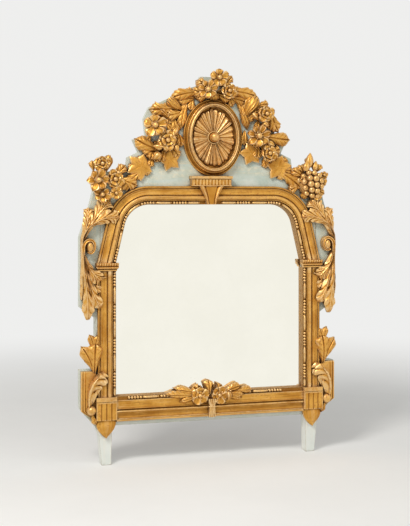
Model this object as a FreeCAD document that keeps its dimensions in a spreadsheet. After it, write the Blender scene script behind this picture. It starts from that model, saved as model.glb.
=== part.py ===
"""Pier mirror: a painted board with a glass, carved and gilded mouldings, and carved garlands.

X runs to the right and Z up. The front faces -Y. The origin is at the middle of the object's foot,
halfway between the wall and the foremost flower. A height of relief is measured from the front of
the boards towards the viewer. Where a piece has a left and a right, side is -1 or 1.
"""

import FreeCAD, Part
import math
import os

import Sketcher
from FreeCAD import Vector

LEFT, RIGHT = -1, 1
SIDE_NAMES = {LEFT: "left", RIGHT: "right"}

# Driving sizes, in millimetres: each is one cell of the sheet
SIZES = (
    # Boards
    ("overall_depth", 100),
    ("carcase_depth", 36),
    ("crest_board_depth", 22),
    ("leg_length", 118),
    ("stile_inner_reach", 300),
    ("leg_inset", 9),
    ("leg_width", 40),
    ("leg_taper", 9),
    ("waist_width", 59),
    ("wing_width", 47),
    ("ear_foot_height", 164),
    ("ear_top_height", 286),
    ("wing_foot_height", 440),
    ("wing_height", 242),
    ("shoulder_rise", 44),
    ("shoulder_width", 7),
    ("seam_width", 45),
    ("lap_width", 34),
    ("board_set_back", 2),
    ("joint_gap", 0.2),
    ("tenon_length", 30),
    ("tenon_height", 56),
    ("tenon_thickness", 12),
    ("peg_radius", 4),
    ("crest_height", 336),
    ("batten_height", 66),
    # Sight opening, glass and back
    ("moulding_overhang", 2),
    ("sight_bottom", 206),
    ("spring_height", 606),
    ("sight_top", 780),
    ("sight_lean", 41),
    ("sight_corner_radius", 76),
    ("lip_depth", 10),
    ("rebate_width", 8),
    ("glass_thickness", 4),
    ("glass_gap", 2),
    ("glass_block_length", 34),
    ("panel_thickness", 8),
    ("panel_gap", 1),
    ("brad_radius", 1.4),
    ("brad_length", 26),
    ("brad_show", 11),
    # Gilded mouldings
    ("moulding_width", 56),
    ("moulding_relief", 20),
    ("bead_radius", 4.2),
    ("bead_gap", 0.3),
    ("reel_length", 52),
    ("rail_moulding_height", 75),
    ("capital_height", 24),
    ("capital_relief", 27),
    ("capital_overhang", 6),
    ("block_width", 62),
    ("block_height", 68),
    ("block_relief", 25),
    ("flute_radius", 5),
    ("pendant_length", 55),
    ("pendant_relief", 20),
    ("keystone_top_width", 76),
    ("keystone_foot_width", 28),
    ("keystone_relief", 29),
    ("keystone_shift", 5),
    ("cap_width", 130),
    ("cap_height", 31),
    ("cap_relief", 35),
    ("cap_flute_width", 5),
    # Medallion
    ("medallion_half_width", 94),
    ("medallion_half_height", 118),
    ("medallion_shift", 4),
    ("medallion_band", 23),
    ("medallion_relief", 36),
    ("rosette_relief", 24),
    ("rosette_dish_depth", 10),
    ("boss_radius", 15),
    ("boss_relief", 46),
    # Carved flowers and leaves
    ("carving_gap", 0.3),
    ("garland_reach", 200),
    ("berry_radius", 11),
    ("petal_thickness", 5),
    ("petal_rise", 13),
    ("flower_post_radius", 9),
    ("flower_heart_rise", 7),
    ("leaf_edge_relief", 9),
    ("leaf_ridge_relief", 19),
    ("acanthus_edge_relief", 22),
    ("acanthus_ridge_relief", 30),
    ("volute_radius", 18),
    ("volute_relief", 28),
    ("bracket_relief", 12),
    ("ear_eye_radius", 7.5),
    ("bouquet_relief", 48),
    # Ironwork
    ("plate_width", 34),
    ("plate_height", 66),
    ("plate_thickness", 2),
    ("plate_nail_radius", 2),
    ("plate_nail_length", 14),
    ("eye_height", 1012),
    ("eye_wire_radius", 1.75),
    ("eye_bend_radius", 5),
    ("ring_radius", 16),
    ("ring_wire_radius", 2.5),
    ("ring_clearance", 1.7),
)

# The number of copies in what repeats
FLUTES_IN_A_BLOCK = 4
FLUTES_IN_THE_CAP = 12
BACK_PANEL_BOARDS = 3
BRADS_IN_A_ROW = 4
BEADS_IN_A_GROUP = 5
TONGUES_ON_A_CAPITAL = 9
ROSETTE_RAYS = 30

# The number of facets round what is carved
PEG_SIDES = 8
NAIL_SIDES = 4
NAIL_HEAD_SIDES = 6
BOSS_SIDES = 16
BEAD_SIDES = 6
WIRE_SIDES = 6
BERRY_SIDES = 5
RING_STATIONS = 36
EYE_STATIONS = 7
HANGING_RING_STATIONS = 18
VOLUTE_STATIONS = 11
VOLUTE_TURN = math.radians(430)

# Carving: facet corners closer than this share of the joint gap are one, and smaller chips are left out
MERGE_SHARE = 0.05
CHIP_SHARE = 0.01

# Mouldings: shares of the moulding's width, and of its relief
FILLET_SHARE = 0.05
BED_SHARE = 0.45

# A leaf: each share of its length, with the share of its half width there
PLAIN_LEAF_SHARES = ((0, 0.15), (0.25, 0.85), (0.55, 1), (0.8, 0.6), (1, 0))
TOOTHED_LEAF_SHARES = ((0, 0.15), (0.26, 0.8), (0.34, 0.6), (0.55, 1), (0.63, 0.65), (1, 0))
ACANTHUS_SHARES = ((0, 0.5), (0.26, 0.9), (0.34, 0.65), (0.58, 1), (0.66, 0.7), (1, 0))
PENDANT_SHARES = ((0, 1), (0.33, 0.94), (0.65, 0.65), (0.9, 0.25), (1, 0))
LEAF_KIND_SHARES = {"plain": PLAIN_LEAF_SHARES, "toothed": TOOTHED_LEAF_SHARES}

# The medallion's ring in section: shares of its band inwards, and of its relief
RING_PROFILE_SHARES = ((0, 0), (0, 0.28), (0.3, 0.42), (0.6, 0.9), (1, 1), (1, 0))

# Garland leaves: kind, start and tip as shares of the garland's reach, half width, and bow
LEFT_LEAF_SHARES = (
    ("toothed", -0.62, 0.43, -0.98, 0.43, 0.11, -0.05),
    ("toothed", -0.47, 0.4, -0.7, 0.57, 0.08, 0.1),
    ("toothed", -0.46, 0.32, -0.76, 0.3, 0.09, 0),
    ("plain", -0.5, 0.05, -0.48, 0.5, 0.08, 0.12),
    ("toothed", -0.8, -0.2, -1.22, -0.03, 0.1, 0.05),
    ("lobed", -0.92, -0.3, -1.34, -0.7, 0.19, 0),
    ("toothed", -0.7, -0.16, -0.58, -0.48, 0.1, 0),
    ("plain", -0.76, -0.2, -0.83, -0.37, 0.09, 0),
    ("plain", -1.2, -0.6, -1.5, -0.78, 0.04, 0),
)
RIGHT_LEAF_SHARES = (
    ("toothed", 0.5, 0.38, 0.74, 0.64, 0.1, 0),
    ("toothed", 0.97, 0.38, 1.09, 0.07, 0.09, -0.1),
    ("toothed", 0.86, 0.02, 1.26, -0.03, 0.1, 0.05),
    ("toothed", 0.6, 0.3, 0.82, 0.36, 0.08, 0),
    ("lobed", 0.72, -0.08, 0.52, -0.42, 0.15, 0),
    ("lobed", 0.93, -0.24, 1.26, -0.63, 0.19, 0),
    ("toothed", 1.15, -0.5, 1.48, -0.83, 0.11, 0),
    ("plain", 0.58, 0.12, 0.44, 0.44, 0.07, -0.1),
)
TOP_LEAF_SHARES = (
    ("toothed", -0.15, 0.7, -0.65, 0.57, 0.08, -0.05),
    ("toothed", 0.3, 0.68, 0.75, 0.62, 0.1, 0.05),
)

# Garland flowers: place and radius as shares of the garland's reach, share of the full relief, petals
LEFT_FLOWER_SHARES = (
    (-0.94, 0.17, 0.19, 1.0, 5),
    (-0.74, -0.05, 0.17, 0.86, 5),
    (-0.89, -0.17, 0.07, 0.7, 5),
    (-0.91, -0.31, 0.075, 0.7, 5),
)
RIGHT_FLOWER_SHARES = (
    (0.84, 0.39, 0.145, 0.86, 6),
    (0.71, 0.04, 0.2, 1.0, 8),
    (0.89, -0.24, 0.15, 0.8, 5),
)
TOP_FLOWER_SHARES = (
    (0.07, 0.93, 0.155, 0.86, 5),
    (-0.12, 0.72, 0.175, 1.0, 8),
    (0.24, 0.7, 0.135, 0.8, 5),
)

# Shoulder bouquets, from the shoulder: flowers have a share of relief where their post starts last
LEFT_SHOULDER_FLOWER_SHARES = (
    (-0.07, 0.12, 0.135, 0.8, 5, 0),
    (-0.01, -0.13, 0.185, 1.0, 5, 0),
    (-0.27, -0.11, 0.16, 0.88, 5, 0),
    (-0.06, -0.34, 0.15, 0.86, 5, 0),
    (-0.28, -0.32, 0.12, 0.88, 5, 0.4),
)
LEFT_SHOULDER_LEAF_SHARES = (
    (-0.05, -0.12, -0.07, 0.25, 0.1),
    (-0.22, -0.08, -0.42, 0.12, 0.07),
    (-0.38, -0.1, -0.6, -0.2, 0.06),
)
RIGHT_SHOULDER_LEAF_SHARES = ((-0.16, 0.0, -0.17, 0.3, 0.1),)
# Rows of berries: height, first and last place across, number, share of the full relief
BERRY_ROW_SHARES = (
    (0.06, -0.26, -0.08, 3, 0.5),
    (-0.03, -0.31, -0.03, 4, 0.66),
    (-0.12, -0.35, 0.03, 5, 0.74),
    (-0.21, -0.25, 0.07, 4, 0.66),
    (-0.3, -0.1, 0.09, 3, 0.5),
)
BOTTOM_LEAF_SHARES = (
    (-0.03, 0, -0.77, 0.03, 0.055),
    (-0.03, -0.02, -0.6, -0.12, 0.05),
    (0.03, 0, 0.67, 0.04, 0.055),
    (0.03, -0.02, 0.55, -0.1, 0.045),
    (-0.02, 0.15, -0.01, -0.38, 0.075),
)
BOTTOM_FLOWER_SHARES = (
    (-0.04, 0.11, 0.09, 5),
    (-0.17, -0.04, 0.15, 5),
    (0.13, -0.05, 0.145, 6),
)

# Side carving, as shares of the wing's height inwards from its edge and up from its foot: start, tip, half
# width, and bow towards the edge
UPPER_ACANTHUS_SHARES = (
    (0.08, 0.5, 0.16, 1.43, 0.085, 0.06),
    (0.11, 1.03, 0.36, 1.52, 0.08, 0.08),
    (0.13, 1.03, 0.48, 1.26, 0.07, 0.08),
    (0.15, 1.0, 0.36, 1.1, 0.05, 0.05),
)
LOWER_ACANTHUS_SHARES = (
    (0.09, 0.76, 0.09, 0.01, 0.085, -0.03),
    (0.09, 0.74, 0.25, 0.66, 0.05, 0),
    (0.09, 0.66, 0.28, 0.5, 0.06, 0),
    (0.09, 0.41, 0.27, 0.12, 0.08, 0),
    (0.09, 0.62, 0.02, 0.38, 0.045, 0),
)
VINE_LEAF_SHARES = (
    (0.18, -0.61, 0.01, -0.35, 0.06, 0),
    (0.18, -0.61, 0.11, -0.2, 0.08, 0),
    (0.2, -0.61, 0.22, -0.22, 0.06, 0),
)
VOLUTE_PLACE_SHARES = (0.12, 0.89)

# On the ear, from the corner block: share of the ear's width, and of its height
EAR_KNOB_SHARES = (0.37, 0.05)
EAR_EYE_SHARES = (0.2, 0.29)
EAR_LEAF_START_SHARES = (0.33, 0.21)
EAR_LEAF_TIP_SHARES = (-0.6, 0.91)


class Size:
    """A length: its formula for the sheet, and its value in millimetres."""

    def __init__(self, formula, value):
        self.formula = formula
        self.value = value

    def __add__(self, other):
        return Size(f"({self.formula} + {other.formula})", self.value + other.value)

    def __sub__(self, other):
        return Size(f"({self.formula} - {other.formula})", self.value - other.value)

    def __mul__(self, share):
        return Size(f"({self.formula} * {share})", self.value * share)

    def __neg__(self):
        return self * -1

    __rmul__ = __mul__


class Sizes:
    """The driving sizes by name, as lengths that refer to the sheet."""

    def __init__(self, sheet):
        for name, _ in SIZES:
            setattr(self, name, Size(f"sizes.{name}", float(sheet.get(name))))


def make_sheet():
    sheet = doc.addObject("Spreadsheet::Sheet", "sizes")
    for row, (name, value) in enumerate(SIZES, start=1):
        sheet.set(f"A{row}", name)
        sheet.set(f"B{row}", str(value))
        sheet.setAlias(f"B{row}", name)
    doc.recompute()
    return sheet


doc = FreeCAD.newDocument("pier_mirror")
pieces = []
S = Sizes(make_sheet())
ZERO = Size("0", 0)


# Levels across the depth. The board front is where relief is measured from.
BACK_Y = S.overall_depth * 0.5
FRONT_Y = BACK_Y - S.carcase_depth
CREST_BACK_Y = FRONT_Y + S.crest_board_depth
GLASS_FRONT_Y = FRONT_Y + S.lip_depth
PANEL_FRONT_Y = GLASS_FRONT_Y + S.glass_thickness
PANEL_BACK_Y = PANEL_FRONT_Y + S.panel_thickness

# Lines on the face
SIGHT_REACH = S.stile_inner_reach - S.moulding_overhang
WAIST_REACH = S.stile_inner_reach + S.waist_width
BOARD_REACH = WAIST_REACH + S.wing_width
SEAM_REACH = S.stile_inner_reach + S.seam_width
SHOULDER_REACH = SEAM_REACH + S.shoulder_width
REBATE_REACH = SIGHT_REACH + S.rebate_width
REBATE_FOOT = S.sight_bottom - S.rebate_width
REBATE_TOP = S.sight_top + S.rebate_width
MOULDING_REACH = SIGHT_REACH + S.moulding_width
ARCH_TOP = S.sight_top + S.moulding_width
SHOULDER_HEIGHT = ARCH_TOP + S.shoulder_rise
CAPITAL_FOOT = S.spring_height - S.capital_height
LAP_REACH = SEAM_REACH - S.lap_width
BLOCK_TOP = S.sight_bottom
BLOCK_FOOT = BLOCK_TOP - S.block_height
BLOCK_REACH = SIGHT_REACH + S.block_width
CAP_TOP = ARCH_TOP + S.cap_height
MEDALLION_Z = CAP_TOP + S.medallion_half_height
BATTEN_FOOT = S.sight_top - S.rebate_width
CHANNEL_MIDDLE = S.moulding_width * FILLET_SHARE + S.bead_radius + S.bead_gap
CHANNEL_END = CHANNEL_MIDDLE + S.bead_radius + S.bead_gap
EAR_WIDTH = BOARD_REACH - BLOCK_REACH
EAR_RISE = S.ear_top_height - S.ear_foot_height

EYE_LEG_LENGTH = S.crest_board_depth * 0.4
FORWARD = Vector(0, -1, 0)

# The foremost flower's relief
FLOWER_RELIEF = S.overall_depth - S.carcase_depth


# Making features
def keep(piece, name):
    """Takes a finished object as the sub-part of that name."""
    piece.Label = name
    pieces.append(piece)
    return piece


def bind(obj, **formulas):
    """Binds properties to the sheet. A double underscore stands for a dot."""
    for prop, size in formulas.items():
        obj.setExpression(prop.replace("__", "."), size.formula)
    return obj


def place(obj, x=ZERO, y=ZERO, z=ZERO):
    bind(obj, Placement__Base__x=x, Placement__Base__y=y, Placement__Base__z=z)
    return obj


def new_body(name):
    return doc.addObject("PartDesign::Body", name)


def origin_plane(body, role):
    return next(f for f in body.Origin.OriginFeatures if f.Role == role)


def new_sketch(body, role, name, offset=None):
    """A sketch on one of the body's planes, moved along that plane's normal by offset."""
    sketch = body.newObject("Sketcher::SketchObject", name)
    sketch.AttachmentSupport = (origin_plane(body, role), "")
    sketch.MapMode = "FlatFace"
    if offset is not None:
        bind(sketch, AttachmentOffset__Base__z=offset)
    return sketch


def fix_point(sketch, geometry, position, x, y):
    """Ties a point of the sketch to the sheet, or to an axis where a length is zero."""
    for axis, kind, size in ((-2, "DistanceX", x), (-1, "DistanceY", y)):
        if size is ZERO:
            sketch.addConstraint(Sketcher.Constraint("PointOnObject", geometry, position, axis))
        else:
            made = sketch.addConstraint(Sketcher.Constraint(kind, -1, 1, geometry, position, size.value))
            sketch.setExpression(f"Constraints[{made}]", size.formula)


def rounding(before, corner, after, radius):
    """Where an arc of that radius leaves the two lines at a corner, and its centre."""
    to_before = (before - corner).normalize()
    to_after = (after - corner).normalize()
    half = to_before.getAngle(to_after) / 2
    run = radius / math.tan(half)
    centre = corner + (to_before + to_after).normalize() * (radius / math.sin(half))
    return corner + to_before * run, corner + to_after * run, centre


def draw_outline(sketch, corners, closed=True):
    """Draws lines through the corners, each (x, y) or (x, y, radius of its rounding)."""
    points = [Vector(c[0].value, c[1].value, 0) for c in corners]
    count = len(points)
    leave, arrive, centres = list(points), list(points), {}
    for i, corner in enumerate(corners):
        if len(corner) == 3:
            before, after = points[i - 1], points[(i + 1) % count]
            arrive[i], leave[i], centres[i] = rounding(before, points[i], after, corner[2].value)
    runs = count if closed else count - 1
    for i in range(runs):
        sketch.addGeometry(Part.LineSegment(leave[i], arrive[(i + 1) % count]))
    for i, (x, y, *radius) in enumerate(corners):
        line_in, line_out = (i - 1) % count, i
        if i not in centres:
            if closed or 0 < i < runs:
                sketch.addConstraint(Sketcher.Constraint("Coincident", line_in, 2, line_out, 1))
            fix_point(sketch, *((line_out, 1) if i < runs else (line_in, 2)), x, y)
            continue
        round_corner(sketch, (line_in, line_out), points[i], (arrive[i], leave[i], centres[i]), corners[i])
    return sketch


def round_corner(sketch, lines, point, arc_points, corner):
    """Adds the arc at a corner, tangent to its lines, and a construction point that holds the corner."""
    x, y, radius = corner
    start, end, centre = arc_points
    turn = (point - start).cross(end - point).z
    first, last = (start, end) if turn > 0 else (end, start)
    angles = [math.atan2(p.y - centre.y, p.x - centre.x) for p in (first, last)]
    circle = Part.Circle(centre, Vector(0, 0, 1), radius.value)
    arc = sketch.addGeometry(Part.ArcOfCircle(circle, *angles))
    start_id, end_id = (1, 2) if turn > 0 else (2, 1)
    sketch.addConstraint(Sketcher.Constraint("Tangent", lines[0], 2, arc, start_id))
    sketch.addConstraint(Sketcher.Constraint("Tangent", arc, end_id, lines[1], 1))
    made = sketch.addConstraint(Sketcher.Constraint("Radius", arc, radius.value))
    sketch.setExpression(f"Constraints[{made}]", radius.formula)
    held = sketch.addGeometry(Part.Point(point), True)
    for line in lines:
        sketch.addConstraint(Sketcher.Constraint("PointOnObject", held, 1, line))
    fix_point(sketch, held, 1, x, y)


def draw_circle(sketch, x, y, radius):
    made = sketch.addGeometry(Part.Circle(Vector(x.value, y.value, 0), Vector(0, 0, 1), radius.value))
    number = sketch.addConstraint(Sketcher.Constraint("Radius", made, radius.value))
    sketch.setExpression(f"Constraints[{number}]", radius.formula)
    fix_point(sketch, made, 3, x, y)
    return sketch


def rectangle(x_low, x_high, y_low, y_high):
    return [(x_low, y_low), (x_high, y_low), (x_high, y_high), (x_low, y_high)]


def add_pad(body, sketch, length, midplane=False, reverse=False):
    pad = body.newObject("PartDesign::Pad", "pad")
    pad.Profile = sketch
    pad.Midplane = midplane
    pad.Reversed = reverse
    bind(pad, Length=length)
    return pad


def add_pocket(body, sketch, depth, reverse=False, through=False):
    """A cut against the sketch's normal, or along it where reverse is true."""
    doc.recompute()
    before = body.Tip.Shape.Volume
    pocket = body.newObject("PartDesign::Pocket", "pocket")
    pocket.Profile = sketch
    pocket.Reversed = reverse
    if through:
        pocket.Type = "ThroughAll"
        pocket.Midplane = True
    else:
        bind(pocket, Length=depth)
    doc.recompute()
    if pocket.Shape.Volume >= before:
        raise RuntimeError(f"{sketch.Name} in {body.Name} cuts nothing")
    return pocket


def add_row(body, feature, direction, length, count):
    """Repeats a feature along an axis of its sketch, count times over that length."""
    row = body.newObject("PartDesign::LinearPattern", "row")
    row.Originals = [feature]
    row.Direction = (feature.Profile[0], [direction])
    row.Occurrences = count
    bind(row, Length=length)
    body.Tip = row
    return row


def box(x_low, x_high, y_low, y_high, z_low, z_high, name="box"):
    made = doc.addObject("Part::Box", name)
    bind(made, Length=x_high - x_low, Width=y_high - y_low, Height=z_high - z_low)
    return place(made, x_low, y_low, z_low)


def rod(radius, length, x, y, z, direction, sides, name="rod"):
    """A hewn rod with flat sides from a point, along a direction."""
    made = doc.addObject("Part::Prism", name)
    made.Polygon = sides
    made.Placement.Rotation = FreeCAD.Rotation(Vector(0, 0, 1), direction)
    bind(made, Circumradius=radius, Height=length)
    return place(made, x, y, z)


def group(members, name):
    made = doc.addObject("Part::Compound", name)
    made.Links = members
    return keep(made, name)


def drill(base, holes, name):
    """Keeps the base less its holes, as a boolean feature."""
    tool = doc.addObject("Part::Compound", f"{name}_holes")
    tool.Links = holes
    cut = doc.addObject("Part::Cut", name)
    cut.Base, cut.Tool = base, tool
    base.Label = f"{name}_blank"
    return keep(cut, name)


# Boards
def stile_outline(side):
    """From the foot up the outer edge to the shoulder, and back down the inner edge."""
    leg_inner = S.stile_inner_reach + S.leg_inset
    leg_outer = leg_inner + S.leg_width
    corners = [
        (leg_inner + S.leg_taper * 0.3, ZERO),
        (leg_outer - S.leg_taper, ZERO),
        (leg_outer, S.leg_length * 0.75),
        (leg_outer + S.leg_taper * 1.3, S.leg_length),
        (BOARD_REACH - S.leg_taper * 0.5, S.ear_foot_height),
        (BOARD_REACH, S.ear_foot_height + S.leg_taper),
        (BOARD_REACH, S.ear_top_height),
        (WAIST_REACH, S.ear_top_height),
        (WAIST_REACH, S.wing_foot_height),
        (BOARD_REACH, S.wing_foot_height + S.lap_width),
        (BOARD_REACH, S.wing_foot_height + S.wing_height),
        (BOARD_REACH - S.lap_width, SHOULDER_HEIGHT - SHOULDER_REACH * 0.26),
        (SHOULDER_REACH, SHOULDER_HEIGHT),
        (LAP_REACH, SHOULDER_HEIGHT),
        (LAP_REACH, S.spring_height),
        (S.stile_inner_reach, S.spring_height),
        (S.stile_inner_reach, S.leg_length),
        (leg_inner, S.leg_length),
    ]
    return [(side * x, z) for x, z in corners]


def make_stile(side):
    """A stile board in one piece with its leg, lapped for the crest board and mortised for the rail."""
    body = new_body(f"{SIDE_NAMES[side]}_stile_board")
    place(body, y=BACK_Y)
    add_pad(body, draw_outline(new_sketch(body, "XZ_Plane", "outline"), stile_outline(side)), S.carcase_depth)
    inside = S.stile_inner_reach - S.lap_width
    rebate = new_sketch(body, "XZ_Plane", "glass_rebate")
    draw_outline(rebate, rectangle(side * inside, side * REBATE_REACH, REBATE_FOOT, REBATE_TOP))
    add_pocket(body, rebate, S.carcase_depth - S.lip_depth, reverse=True)
    lap = new_sketch(body, "XZ_Plane", "crest_lap", S.carcase_depth)
    lap_top = SHOULDER_HEIGHT + S.lap_width
    draw_outline(lap, rectangle(side * inside, side * SEAM_REACH, S.spring_height, lap_top))
    add_pocket(body, lap, S.crest_board_depth)
    cheek = (S.carcase_depth - S.tenon_thickness) * 0.5
    mortise = new_sketch(body, "XZ_Plane", "mortise", cheek - S.joint_gap)
    rail_middle = (S.leg_length + REBATE_FOOT) * 0.5
    reach = S.stile_inner_reach + S.tenon_length + S.joint_gap
    half = S.tenon_height * 0.5 + S.joint_gap
    draw_outline(mortise, rectangle(side * inside, side * reach, rail_middle - half, rail_middle + half))
    add_pocket(body, mortise, S.tenon_thickness + S.joint_gap * 2, reverse=True)
    eye_x, eye_z = on_ear(side, EAR_EYE_SHARES)
    eye = draw_circle(new_sketch(body, "XZ_Plane", "pierced_eye"), eye_x, eye_z, S.ear_eye_radius)
    add_pocket(body, eye, ZERO, through=True)
    return body


def on_ear(side, shares):
    """A place on the ear beside the corner block."""
    across, up = shares
    return side * (BLOCK_REACH + EAR_WIDTH * across), S.ear_foot_height + EAR_RISE * up


def peg_places():
    """Two pegs in the tenon and two in the lap, for the right side."""
    rail_middle = (S.leg_length + REBATE_FOOT) * 0.5
    tenon_x = S.stile_inner_reach + S.tenon_length * 0.5
    lap_x = SEAM_REACH - S.lap_width * 0.5
    lap_height = SHOULDER_HEIGHT - S.spring_height
    return [
        (tenon_x, rail_middle - S.tenon_height * 0.27),
        (tenon_x, rail_middle + S.tenon_height * 0.27),
        (lap_x, S.spring_height + lap_height * 0.15),
        (lap_x, S.spring_height + lap_height * 0.85),
    ]


def make_rail_board():
    """The board under the glass, with a tenon at each end."""
    body = new_body("bottom_rail_board")
    place(body, y=BACK_Y)
    reach = S.stile_inner_reach
    top = S.sight_bottom - S.board_set_back
    outline = new_sketch(body, "XZ_Plane", "outline")
    draw_outline(outline, rectangle(-reach, reach, S.leg_length, top))
    add_pad(body, outline, S.carcase_depth)
    rebate = new_sketch(body, "XZ_Plane", "glass_rebate")
    draw_outline(rebate, rectangle(-reach - S.lap_width, reach + S.lap_width, REBATE_FOOT, top + S.lap_width))
    add_pocket(body, rebate, S.carcase_depth - S.lip_depth, reverse=True)
    middle = (S.leg_length + REBATE_FOOT) * 0.5
    half = S.tenon_height * 0.5
    tenon = new_sketch(body, "XZ_Plane", "tenons", S.carcase_depth * 0.5 - S.tenon_thickness * 0.5)
    tip = reach + S.tenon_length
    draw_outline(tenon, rectangle(-tip, tip, middle - half, middle + half))
    add_pad(body, tenon, S.tenon_thickness)
    return body


# Shares of the seam's reach and of the crest's height, up the right edge of the crest board
CREST_EDGE_SHARES = (
    (0.87, 0.085),
    (0.775, 0.13),
    (0.758, 0.258),
    (0.66, 0.305),
    (0.712, 0.418),
    (0.595, 0.44),
    (0.612, 0.61),
    (0.565, 0.712),
    (0.4, 0.79),
    (0.25, 0.882),
    (0.125, 0.915),
    (0.1, 1.0),
)


def arch_corners(inset):
    """The right half of the sight edge moved outwards by inset: its spring, corner and middle of the top."""
    rise = S.sight_top - S.spring_height
    lean = math.atan2(S.sight_lean.value, rise.value)
    across = inset * (1 / math.cos(lean))
    along = inset * math.tan(lean)
    spring = (SIGHT_REACH + across, S.spring_height)
    corner = (SIGHT_REACH - S.sight_lean + across - along, S.sight_top + inset)
    return spring, (*corner, S.sight_corner_radius + inset)


def make_crest_board():
    """The board over the glass: an arch below, and an edge cut to the garland above."""
    body = new_body("crest_board")
    place(body, y=CREST_BACK_Y)
    edge = SEAM_REACH - S.joint_gap
    spring, corner = arch_corners(S.board_set_back)
    foot = S.spring_height + S.joint_gap
    right = [(spring[0], foot), (edge, foot)]
    right += [(edge, ARCH_TOP + S.crest_height * 0.12)]
    right += [(SEAM_REACH * x, ARCH_TOP + S.crest_height * z) for x, z in CREST_EDGE_SHARES]
    left = [(-x, z) for x, z in reversed(right)]
    arch = [(-corner[0], *corner[1:]), corner]
    outline = new_sketch(body, "XZ_Plane", "outline")
    draw_outline(outline, right + left + arch)
    add_pad(body, outline, S.crest_board_depth)
    rebate = new_sketch(body, "XZ_Plane", "glass_rebate")
    below = S.spring_height - S.lap_width
    draw_outline(rebate, rectangle(-REBATE_REACH, REBATE_REACH, below, REBATE_TOP))
    add_pocket(body, rebate, S.crest_board_depth - S.lip_depth, reverse=True)
    return body


def make_pegs(side, grow=ZERO):
    """The four pegs of one side, or their holes where they grow."""
    spots = [(side * x, z) for x, z in peg_places()]
    return [rod(S.peg_radius + grow, S.carcase_depth, x, BACK_Y, z, FORWARD, PEG_SIDES) for x, z in spots]


def make_boards():
    """The boards, drilled for what holds them together and for what is nailed into them."""
    left_holes, right_holes = [make_pegs(side, S.joint_gap) for side in (LEFT, RIGHT)]
    left_brads, right_brads, foot_brads = make_brads(S.joint_gap)
    drill(make_stile(LEFT), left_holes + left_brads, "left_stile_board")
    drill(make_stile(RIGHT), right_holes + right_brads, "right_stile_board")
    drill(make_rail_board(), left_holes[:2] + right_holes[:2] + foot_brads, "bottom_rail_board")
    drill(make_crest_board(), left_holes[2:] + right_holes[2:] + hanger_holes(), "crest_board")
    reach = LAP_REACH - S.joint_gap
    batten = box(-reach, reach, CREST_BACK_Y, BACK_Y, BATTEN_FOOT, BATTEN_FOOT + S.batten_height)
    keep(batten, "crest_batten")
    group(make_pegs(LEFT) + make_pegs(RIGHT), "joint_pegs")


# Glass and back
def make_glass():
    reach = REBATE_REACH - S.glass_gap
    foot, top = REBATE_FOOT + S.glass_gap, REBATE_TOP - S.glass_gap
    keep(box(-reach, reach, GLASS_FRONT_Y, PANEL_FRONT_Y, foot, top), "mirror_glass")
    blocks = []
    for side in (LEFT, RIGHT):
        x = side * (reach * 0.6) - S.glass_block_length * 0.5
        blocks.append(box(x, x + S.glass_block_length, GLASS_FRONT_Y, PANEL_FRONT_Y, REBATE_FOOT, foot))
        for share in (0.2, 0.62):
            z = foot + (top - foot) * share
            low, high = (reach, REBATE_REACH) if side == RIGHT else (-REBATE_REACH, -reach)
            blocks.append(box(low, high, GLASS_FRONT_Y, PANEL_FRONT_Y, z, z + S.glass_block_length))
    group(blocks, "glass_blocks")


def make_back_panel():
    """Thin boards side by side in the rebate, behind the glass."""
    foot, top = REBATE_FOOT + S.panel_gap, REBATE_TOP - S.panel_gap
    reach = REBATE_REACH - S.panel_gap
    pitch = (reach * 2 + S.panel_gap) * (1 / BACK_PANEL_BOARDS)
    boards = []
    for number in range(BACK_PANEL_BOARDS):
        x = pitch * number - reach
        boards.append(box(x, x + pitch - S.panel_gap, PANEL_FRONT_Y, PANEL_BACK_Y, foot, top))
    group(boards, "back_panel")


def make_brads(grow=ZERO):
    """Small nails in the rebate's wall behind the back panel, or their holes: left, right and foot rows."""
    radius = S.brad_radius + grow
    y = PANEL_BACK_Y + S.brad_radius + S.joint_gap
    rise = (S.spring_height - REBATE_FOOT) * (1 / BRADS_IN_A_ROW)
    run = REBATE_REACH * (2 / BRADS_IN_A_ROW)
    length = S.brad_length + grow
    near = REBATE_REACH - S.brad_show
    rows = [[], [], []]
    for number in range(BRADS_IN_A_ROW):
        z = REBATE_FOOT + rise * (number + 0.5)
        rows[0].append(rod(radius, length, -near, y, z, Vector(-1, 0, 0), NAIL_SIDES))
        rows[1].append(rod(radius, length, near, y, z, Vector(1, 0, 0), NAIL_SIDES))
        x = run * (number + 0.5) - REBATE_REACH
        rows[2].append(rod(radius, length, x, y, REBATE_FOOT + S.brad_show, Vector(0, 0, -1), NAIL_SIDES))
    return rows


# Mouldings
def gilt_profile():
    """The side and arch moulding from its sight edge outwards: width and relief at each corner."""
    w, r = S.moulding_width, S.moulding_relief
    fillet = w * FILLET_SHARE
    bed = r * BED_SHARE
    torus_end = CHANNEL_END + w * 0.28
    fascia_end = w * 0.84
    ease = w * 0.07
    return [
        (ZERO, ZERO),
        (ZERO, r * 0.62),
        (fillet, r * 0.62),
        (fillet, bed),
        (CHANNEL_END, bed),
        (CHANNEL_END, r * 0.8),
        (CHANNEL_END + ease, r),
        (torus_end - ease, r),
        (torus_end, r * 0.8),
        (torus_end, r * 0.66),
        (torus_end + fillet, r * 0.66),
        (torus_end + fillet, r * 0.9),
        (fascia_end, r * 0.72),
        (fascia_end, r * 0.54),
        (w, r * 0.54),
        (w, ZERO),
    ]


def make_pilaster(side):
    """A side moulding, from the corner block up to the capital."""
    name = f"{SIDE_NAMES[side]}_pilaster"
    body = new_body(name)
    place(body, y=FRONT_Y, z=BLOCK_TOP)
    corners = [(side * (SIGHT_REACH + c[0]), -c[1], *c[2:]) for c in gilt_profile()]
    add_pad(body, draw_outline(new_sketch(body, "XY_Plane", "profile"), corners), CAPITAL_FOOT - BLOCK_TOP)
    keep(body, name)


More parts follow.
